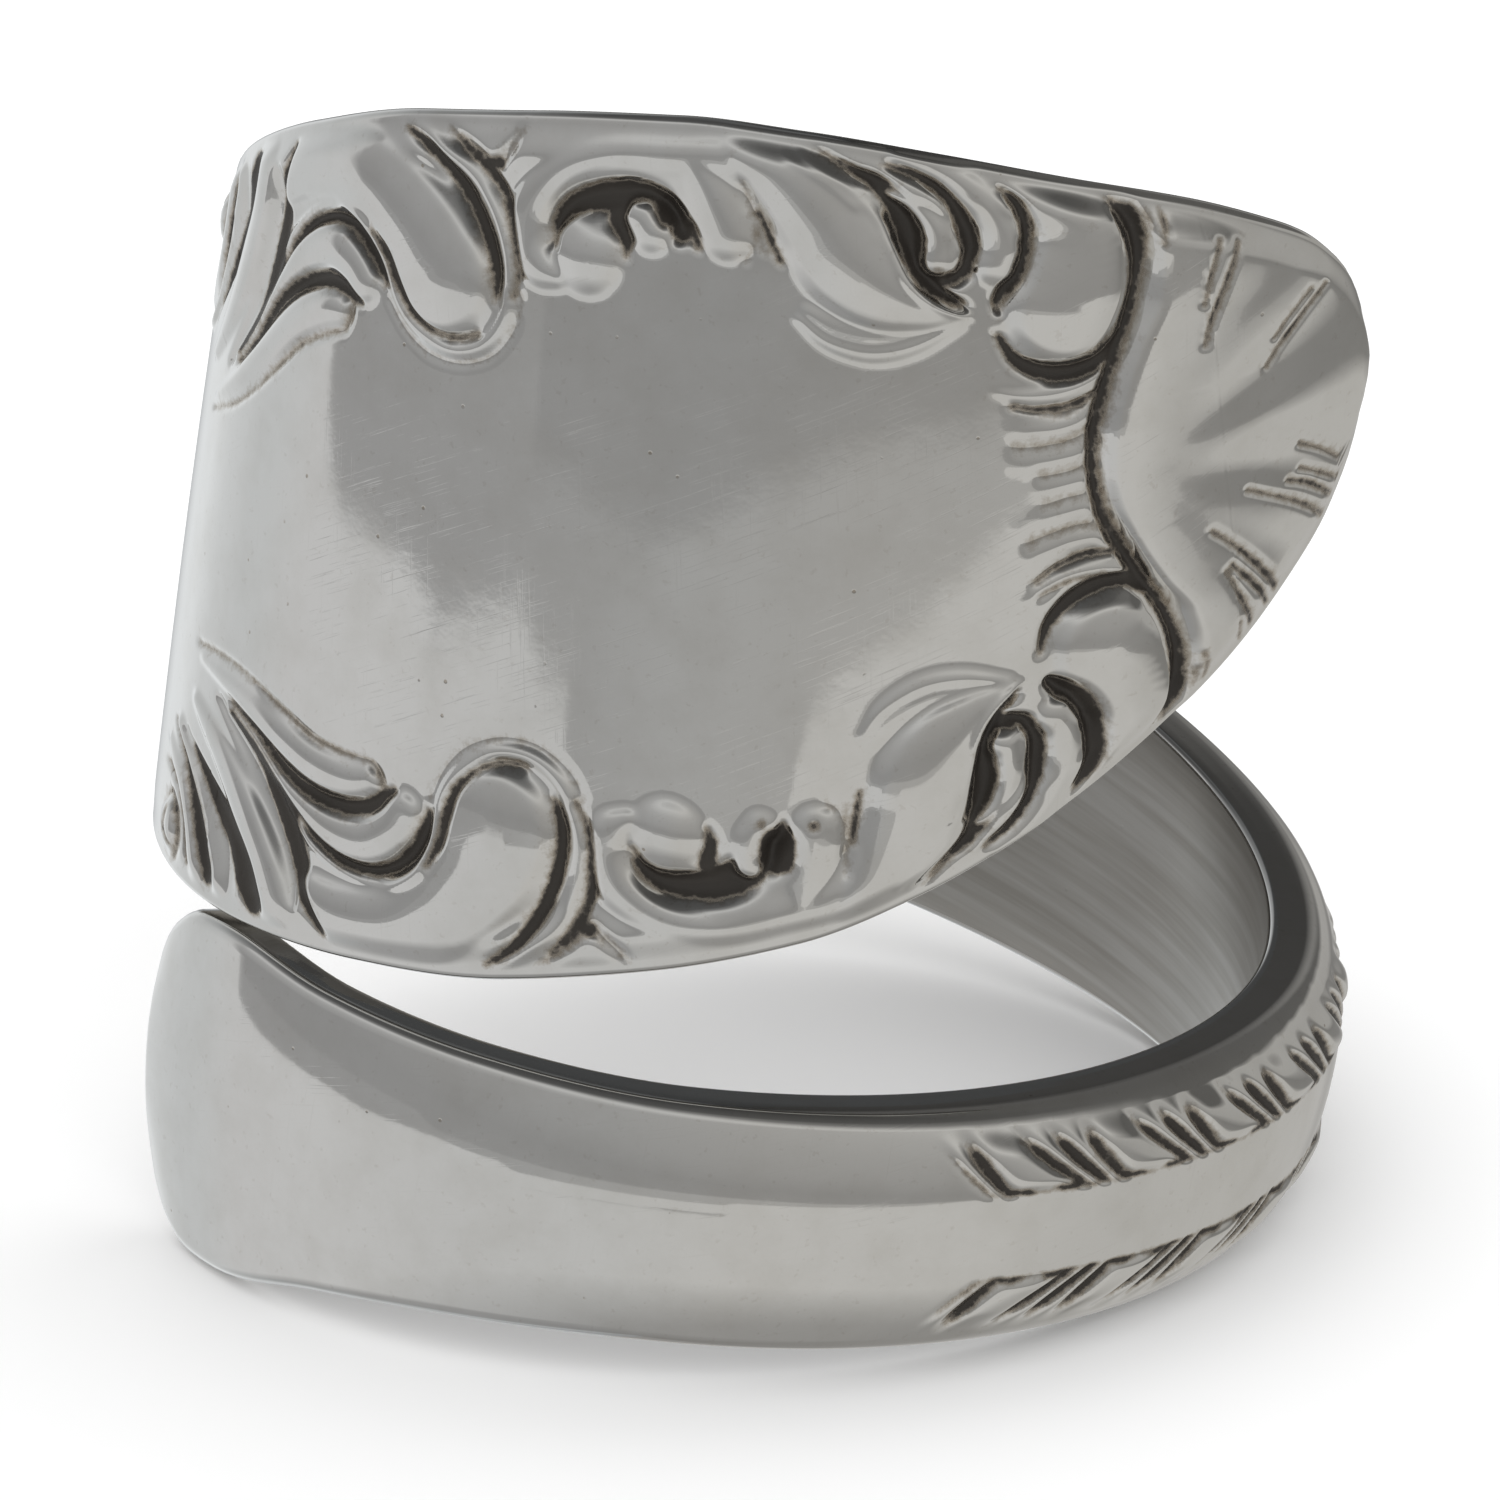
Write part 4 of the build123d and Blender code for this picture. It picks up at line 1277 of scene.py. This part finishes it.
    def section(self, rows: np.ndarray, spread: np.ndarray) -> tuple[np.ndarray, np.ndarray, np.ndarray]:
        """Closed rows of points round the handle.

        Args:
            rows: Distances from the tip.
            spread: Places across the face, from -1 to 1.

        Returns:
            Positions in millimetres, tarnish and inner face, and the place of each point on the handle.
        """
        handle = self.handle
        along = rows[:, None]
        half = handle.half_width(along)
        shoulder = np.minimum(handle.blend(along, handle.panel_shoulder, handle.stem_shoulder,
                                           handle.end_shoulder), 0.8 * half)
        start = half - shoulder
        across = start * spread[None, :]
        relief, dark = self.ornamented(along + 0 * across, across, half + 0 * across)
        radius = handle.face_radius - handle.drop(along, across, half) + relief
        upper_across, upper = self.shoulder(along, start, half, relief[:, -1:], 1)
        lower_across, lower = self.shoulder(along, start, half, relief[:, :1], -1)
        stock = handle.bore_stock
        left = np.clip((handle.length - along) / self.round_end, 0.0, 1.0)
        pinch = self.round_end * (1 - np.sqrt(1 - (1 - left) ** 2))
        radius, upper, lower = radius - pinch, upper - pinch, lower - pinch
        wall = handle.blend(along, handle.panel_wall + stock, handle.stem_wall + stock, handle.end_wall)
        back_crown = handle.blend(along, handle.panel_back_crown, handle.stem_back_crown,
                                  handle.end_back_crown)
        soft = np.minimum(handle.inner_edge, 0.4 * half)
        under = np.linspace(1.0, -1.0, self.inner_columns)[None, :]
        under_across = (half - soft) * under
        flat_share = 1 - np.abs(under_across / half) ** handle.crown_power
        flat_share = flat_share * ease(0.0, self.thin_tip, along)
        under_radius = handle.face_radius - wall + back_crown * (1 - flat_share)
        under_radius = np.maximum(under_radius, handle.bore_radius)
        low = under_radius[:, :1] + soft
        steps = np.linspace(0.0, 1.0, self.edge_columns + 1)[None, 1:]
        upper_side = upper[:, -1:] + (low - upper[:, -1:]) * steps
        lower_side = lower[:, -1:] + (low - lower[:, -1:]) * steps
        side_across = half + 0 * upper_side
        bend = np.array([math.pi / 6, math.pi / 3])[None, :]
        bend_across = half - soft + soft * np.cos(bend)
        bend_radius = low - soft * np.sin(bend)
        all_across = np.concatenate([
            across, upper_across, side_across, bend_across, under_across, -bend_across[:, ::-1],
            -side_across[:, ::-1], lower_across[:, ::-1]], axis=1)
        all_radius = np.concatenate([
            radius, upper, upper_side, bend_radius, under_radius, bend_radius[:, ::-1],
            lower_side[:, ::-1], lower[:, ::-1]], axis=1)
        all_along = along + 0 * all_across
        stain = np.zeros(all_across.shape)
        stain[:, : dark.shape[1]] = dark
        inside = np.zeros(all_across.shape)
        back = dark.shape[1] + self.shoulder_columns + self.edge_columns + bend.size
        inside[:, back: back + self.inner_columns] = 1.0
        place = np.stack([all_along, all_across + self.inner_shift * inside, all_radius], axis=-1)
        return handle.wind(all_along, all_across, all_radius), np.stack([stain, inside]), place

    def settle(self, points: np.ndarray, record: dict) -> np.ndarray:
        """Points moved from the finger's upright axis to where the ring lies.

        Args:
            points: Positions in millimetres with the axis upright.
            record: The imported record, whose finger bore gives the place.

        Returns:
            Positions in metres in the shared frame.
        """
        bore = finger_bore(record)
        turn = Vector((0.0, 0.0, 1.0)).rotation_difference(Vector(bore["axis"])).to_matrix()
        rotated = (points - np.array([0.0, 0.0, self.bore_point_height])) @ np.array(turn).T
        return rotated * MM + np.array(bore["pos_m"])

    def facing(self, points: np.ndarray) -> np.ndarray:
        """Smooth normals of a grid of closed rows.

        Args:
            points: Positions, row by row round the handle.

        Returns:
            Unit normals that point out of the metal.
        """
        beside = np.roll(points, -1, axis=1) - np.roll(points, 1, axis=1)
        onward = np.gradient(points, axis=0)
        normal = np.cross(beside, onward)
        return normal / np.maximum(np.linalg.norm(normal, axis=-1, keepdims=True), 1e-15)

    def piece(self, name: str, points: np.ndarray, normals: np.ndarray, stain: np.ndarray,
              place: np.ndarray) -> bpy.types.Object:
        """One length of the ring as a closed mesh.

        Args:
            name: The object's name.
            points: Positions in metres, row by row round the handle.
            normals: Unit normals there.
            stain: Tarnish with some painted shade, and the inner face that gets painted shade, there.
            place: Place of each point on the handle.

        Returns:
            The object, linked to the scene.
        """
        count, ring = points.shape[:2]
        index = np.arange(count * ring).reshape(count, ring)
        beside = np.roll(index, -1, axis=1)
        quads = np.stack([index[:-1], beside[:-1], beside[1:], index[1:]], axis=-1).reshape(-1, 4)
        faces = quads.tolist() + [index[0][::-1].tolist(), index[-1].tolist()]
        mesh = bpy.data.meshes.new(name)
        mesh.from_pydata(points.reshape(-1, 3).tolist(), [], faces)
        mesh.shade_smooth()
        caps = np.repeat([tuple(cap.normal) for cap in mesh.polygons[-2:]], ring, axis=0)
        corners = np.concatenate([normals.reshape(-1, 3)[quads.reshape(-1)], caps])
        mesh.normals_split_custom_set(corners.tolist())
        for label, values in zip(("tarnish_and_shade", "inner"), stain):
            mesh.attributes.new(label, "FLOAT", "POINT").data.foreach_set(
                "value", values.reshape(-1).astype(np.float32))
        spot = mesh.attributes.new("handle", "FLOAT_VECTOR", "POINT")
        spot.data.foreach_set("vector", place.reshape(-1).astype(np.float32))
        piece = bpy.data.objects.new(name, mesh)
        bpy.context.collection.objects.link(piece)
        return piece

    def lengths(self, rows: np.ndarray, spread: np.ndarray, cuts: tuple[tuple[str, float, float], ...],
                record: dict) -> list[bpy.types.Object]:
        """Pieces of one grid of sections, which meet where one ends and the next starts.

        Args:
            rows: Distances from the tip.
            spread: Places across the face, from -1 to 1.
            cuts: Each piece's name, and its first and last distance from the tip.
            record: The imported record.

        Returns:
            The objects.
        """
        points, stain, place = self.section(rows, spread)
        points = self.settle(points, record)
        normals = self.facing(points)
        pieces = []
        for name, first, last in cuts:
            start, stop = np.searchsorted(rows, (first - 1e-6, last - 1e-6))
            kept = slice(start, stop + 1)
            pieces.append(self.piece(name, points[kept], normals[kept], stain[:, kept], place[kept]))
        return pieces

    def build(self, record: dict) -> list[bpy.types.Object]:
        """The ring's panel and band, in lengths.

        Args:
            record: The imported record.

        Returns:
            The objects.
        """
        joined, end = self.handle.panel_length, self.handle.length
        panel = (("ring_tip", 0.0, self.tip_cut), ("ring_panel", self.tip_cut, self.neck_cut),
                 ("ring_neck", self.neck_cut, joined))
        band = (("ring_shank", joined, self.end_cut), ("ring_end", self.end_cut, end))
        across_panel = self.crowded(self.panel_columns, self.wide_middle, self.wide_ratio)
        across_band = np.linspace(-1.0, 1.0, self.band_columns)
        return (self.lengths(self.panel_rows(), across_panel, panel, record)
                + self.lengths(self.band_rows(), across_band, band, record))


@dataclass
class Studio:
    """Pale floor, even surround and camera.

    Each table has rows of an angle in degrees, then what holds there. edge tables give the height in
    degrees at which one zone meets the next over the turn, share tables how much of a zone shows, and
    the others a grey, over the turn (table, haze, glow, tint) or over the height.
    """

    floor_size: float = 1.2
    camera_distance: float = 180.0
    camera_rise: float = 0.3421
    camera_roll: float = 0.1496
    lens: float = 257.8
    aim_below_middle: float = 2.162
    bore_point_above_middle: float = 0.0215
    shift_right: float = -0.0165
    shift_up: float = -0.0180
    surround: float = 1.25
    sensor_width: float = 36.0
    clip_start: float = 0.01
    clip_end: float = 10.0
    floor_tone: Rgba = (0.93, 0.93, 0.93, 1.0)
    floor_roughness: float = 0.9
    shade_soft: float = 0.22
    table_soft: float = 0.10
    zenith: float = 90.0
    table_edge: Table = (
        (-180.0, -10.0), (-107.0, -10.0), (-104.0, -17.6), (-101.0, -18.05), (-95.4, -18.6), (-86.6, -18.8),
        (-76.0, -19.1), (-67.7, -19.65), (-51.5, -19.4), (-45.4, -20.0), (-38.6, -20.3), (-36.0, -22.2),
        (4.0, -22.2), (6.0, -20.45), (11.2, -20.1), (21.0, -19.7), (30.4, -19.2), (40.0, -18.4),
        (46.0, -17.4), (60.0, -16.0), (180.0, -12.0))
    shade_edge: Table = (
        (-180.0, -16.0), (-56.0, -16.0), (-52.4, -17.9), (-42.5, -18.2), (-26.6, -18.7), (-12.0, -18.2),
        (-4.0, -17.9), (11.0, -17.4), (26.6, -17.3), (44.0, -16.5), (180.0, -16.0))
    table: Table = (
        (-180.0, 0.62), (-105.0, 0.60), (-80.0, 0.60), (-50.0, 0.56), (0.0, 0.56), (60.0, 0.55), (90.0, 0.50),
        (116.0, 0.49), (135.0, 0.42), (156.0, 0.24), (180.0, 0.22))
    haze: Table = (
        (-180.0, 0.34), (-60.0, 0.34), (-40.0, 0.36), (-20.0, 0.40), (40.0, 0.41), (180.0, 0.38))
    front: Table = (
        (-90.0, 0.31), (-18.0, 0.31), (-12.0, 0.30), (-4.0, 0.34), (6.0, 0.37), (14.0, 0.41), (19.0, 0.47),
        (24.0, 0.54), (29.0, 0.44), (36.0, 0.20), (46.0, 0.09), (90.0, 0.04))
    sheet: Table = (
        (-90.0, 0.62), (-13.0, 0.60), (8.0, 0.52), (27.0, 0.27), (51.0, 0.07), (90.0, 0.10))
    right: Table = (
        (-90.0, 0.52), (-19.0, 0.50), (-14.0, 0.24), (-7.0, 0.22), (0.0, 0.38), (14.0, 0.40), (20.0, 0.12),
        (90.0, 0.08))
    behind: Table = (
        (-90.0, 0.60), (-14.0, 0.45), (-6.0, 0.16), (4.0, 0.06), (90.0, 0.03))
    sheet_share: Table = (
        (-180.0, 1.0), (-107.0, 1.0), (-103.0, 0.0), (162.0, 0.0), (180.0, 1.0))
    right_share: Table = (
        (-180.0, 0.0), (62.0, 0.0), (95.0, 1.0), (155.0, 1.0), (175.0, 0.0), (180.0, 0.0))
    behind_share: Table = (
        (-180.0, 1.0), (-171.0, 1.0), (-160.0, 0.0), (160.0, 0.0), (172.0, 1.0), (180.0, 1.0))
    glow: Table = (
        (-180.0, 0.1), (-165.0, 0.35), (-150.0, 0.35), (-138.0, 0.12), (-125.0, 0.0), (180.0, 0.0))
    underside: Table = ((-90.0, 0.45), (-60.0, 0.6), (-42.0, 1.0), (90.0, 1.0))
    tint: Table = (
        (-180.0, 0.97, 1.0, 1.02), (-118.0, 0.975, 0.995, 1.0), (-104.0, 1.0, 1.0, 1.0),
        (-20.0, 1.0, 1.0, 0.985), (10.0, 1.0, 0.985, 0.95), (120.0, 1.0, 0.98, 0.93),
        (180.0, 1.0, 0.98, 0.95))

    def floor(self) -> bpy.types.Object:
        """Plain pale floor that the ring rests on.

        Returns:
            The floor.
        """
        mesh = bpy.data.meshes.new("floor")
        side = self.floor_size / 2
        mesh.from_pydata([(-side, -side, 0), (side, -side, 0), (side, side, 0), (-side, side, 0)], [],
                         [(0, 1, 2, 3)])
        piece = bpy.data.objects.new("floor", mesh)
        bpy.context.collection.objects.link(piece)
        material = bpy.data.materials.new("pale_floor")
        material.use_nodes = True
        shader = material.node_tree.nodes["Principled BSDF"]
        shader.inputs["Base Color"].default_value = self.floor_tone
        shader.inputs["Roughness"].default_value = self.floor_roughness
        shader.inputs["Specular IOR Level"].default_value = 0.0
        mesh.materials.append(material)
        piece.visible_glossy = False
        return piece

    def world(self, record: dict) -> None:
        """Surround: even and white for the floor, and a room over a pale table in what the silver mirrors.

        Args:
            record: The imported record, whose finger bore gives the room's upright.
        """
        world = bpy.data.worlds.new("studio")
        bpy.context.scene.world = world
        world.use_nodes = True
        graph = Graph(world.node_tree)
        plain = world.node_tree.nodes["Background"]
        plain.inputs["Color"].default_value = (1.0, 1.0, 1.0, 1.0)
        plain.inputs["Strength"].default_value = self.surround

        axis = Vector(finger_bore(record)["axis"])
        lean = axis.rotation_difference(Vector((0.0, 0.0, 1.0))).to_euler()
        upright = graph.add("ShaderNodeVectorRotate", rotation_type="EULER_XYZ")
        graph.feed(upright.inputs["Rotation"], lean)
        graph.feed(upright.inputs["Vector"], graph.add("ShaderNodeTexCoord").outputs["Generated"])
        parts = graph.add("ShaderNodeSeparateXYZ")
        graph.feed(parts.inputs["Vector"], upright.outputs["Vector"])
        rise = graph.math("MULTIPLY", graph.math("ARCSINE", parts.outputs["Z"]), math.degrees(1.0))
        front = graph.math("MULTIPLY", parts.outputs["Y"], -1.0)
        turn = graph.math("MULTIPLY", graph.math("ARCTAN2", parts.outputs["X"], front), math.degrees(1.0))

        room = graph.ramp(self.front, rise)
        for edge, tone, soft in ((self.shade_edge, self.haze, self.shade_soft),
                                 (self.table_edge, self.table, self.table_soft)):
            depth = graph.ramp(tuple((place, -height / self.zenith) for place, height in edge), turn)
            above = graph.math("MULTIPLY_ADD", depth, self.zenith, rise)
            above = graph.span(above, -soft, soft, smooth=True)
            room = graph.mix(above, graph.ramp(tone, turn), room)
        for share, tone in ((self.right_share, self.right), (self.sheet_share, self.sheet),
                            (self.behind_share, self.behind)):
            room = graph.mix(graph.ramp(share, turn), room, graph.ramp(tone, rise))
        room = graph.mix(1.0, room, graph.ramp(self.tint, turn), "MULTIPLY")
        room = graph.mix(1.0, room, graph.ramp(self.underside, rise), "MULTIPLY")
        mirrored = graph.add("ShaderNodeBackground")
        graph.feed(mirrored.inputs["Color"], room)
        graph.feed(mirrored.inputs["Strength"], graph.math("ADD", graph.ramp(self.glow, turn), 1.0))
        choose = graph.add("ShaderNodeMixShader")
        graph.feed(choose.inputs["Fac"], graph.add("ShaderNodeLightPath").outputs["Is Glossy Ray"])
        graph.feed(choose.inputs[1], plain.outputs["Background"])
        graph.feed(choose.inputs[2], mirrored.outputs["Background"])
        graph.feed(world.node_tree.nodes["World Output"].inputs["Surface"], choose.outputs["Shader"])

    def camera(self, record: dict) -> bpy.types.Object:
        """Camera at the viewing angle, set from the finger's axis.

        Args:
            record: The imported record.

        Returns:
            The camera.
        """
        bore = finger_bore(record)
        axis = Vector(bore["axis"])
        turn = Vector((0.0, 0.0, 1.0)).rotation_difference(axis).to_matrix()
        middle = Vector(bore["pos_m"]) - axis * self.bore_point_above_middle * MM
        target = middle - axis * self.aim_below_middle * MM
        rise, roll = self.camera_rise, self.camera_roll
        right = turn @ Vector((1.0, 0.0, 0.0))
        up = turn @ Vector((0.0, math.sin(rise), math.cos(rise)))
        back = turn @ Vector((0.0, -math.cos(rise), math.sin(rise)))
        x = right * math.cos(roll) + up * math.sin(roll)
        y = up * math.cos(roll) - right * math.sin(roll)
        data = bpy.data.cameras.new("camera")
        data.lens = self.lens
        data.sensor_width = self.sensor_width
        data.shift_x = self.shift_right
        data.shift_y = self.shift_up
        data.clip_start = self.clip_start
        data.clip_end = self.clip_end
        camera = bpy.data.objects.new("camera", data)
        bpy.context.collection.objects.link(camera)
        camera.matrix_world = Matrix.Translation(target + back * self.camera_distance * MM) @ Matrix(
            (x, y, back)).transposed().to_4x4()
        bpy.context.scene.camera = camera
        return camera

    def build(self, record: dict) -> None:
        """Floor, surround and camera.

        Args:
            record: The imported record.
        """
        self.floor()
        self.world(record)
        self.camera(record)
        scene = bpy.context.scene
        scene.view_settings.view_transform = "Standard"


def main() -> None:
    """Builds the ring and its studio."""
    logging.basicConfig(level=logging.INFO, format="%(name)s: %(message)s")
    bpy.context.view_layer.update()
    record = frame["record"]
    silver = Silver().build()
    for piece in SpoonRing(Handle(), Ornament(), Gadroons()).build(record):
        piece.data.materials.append(silver)
        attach(piece, "root")
        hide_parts("spoon_ring")
        log.info("%s: %d faces", piece.name, len(piece.data.polygons))
    Studio().build(record)


if __name__ == "__main__":
    main()
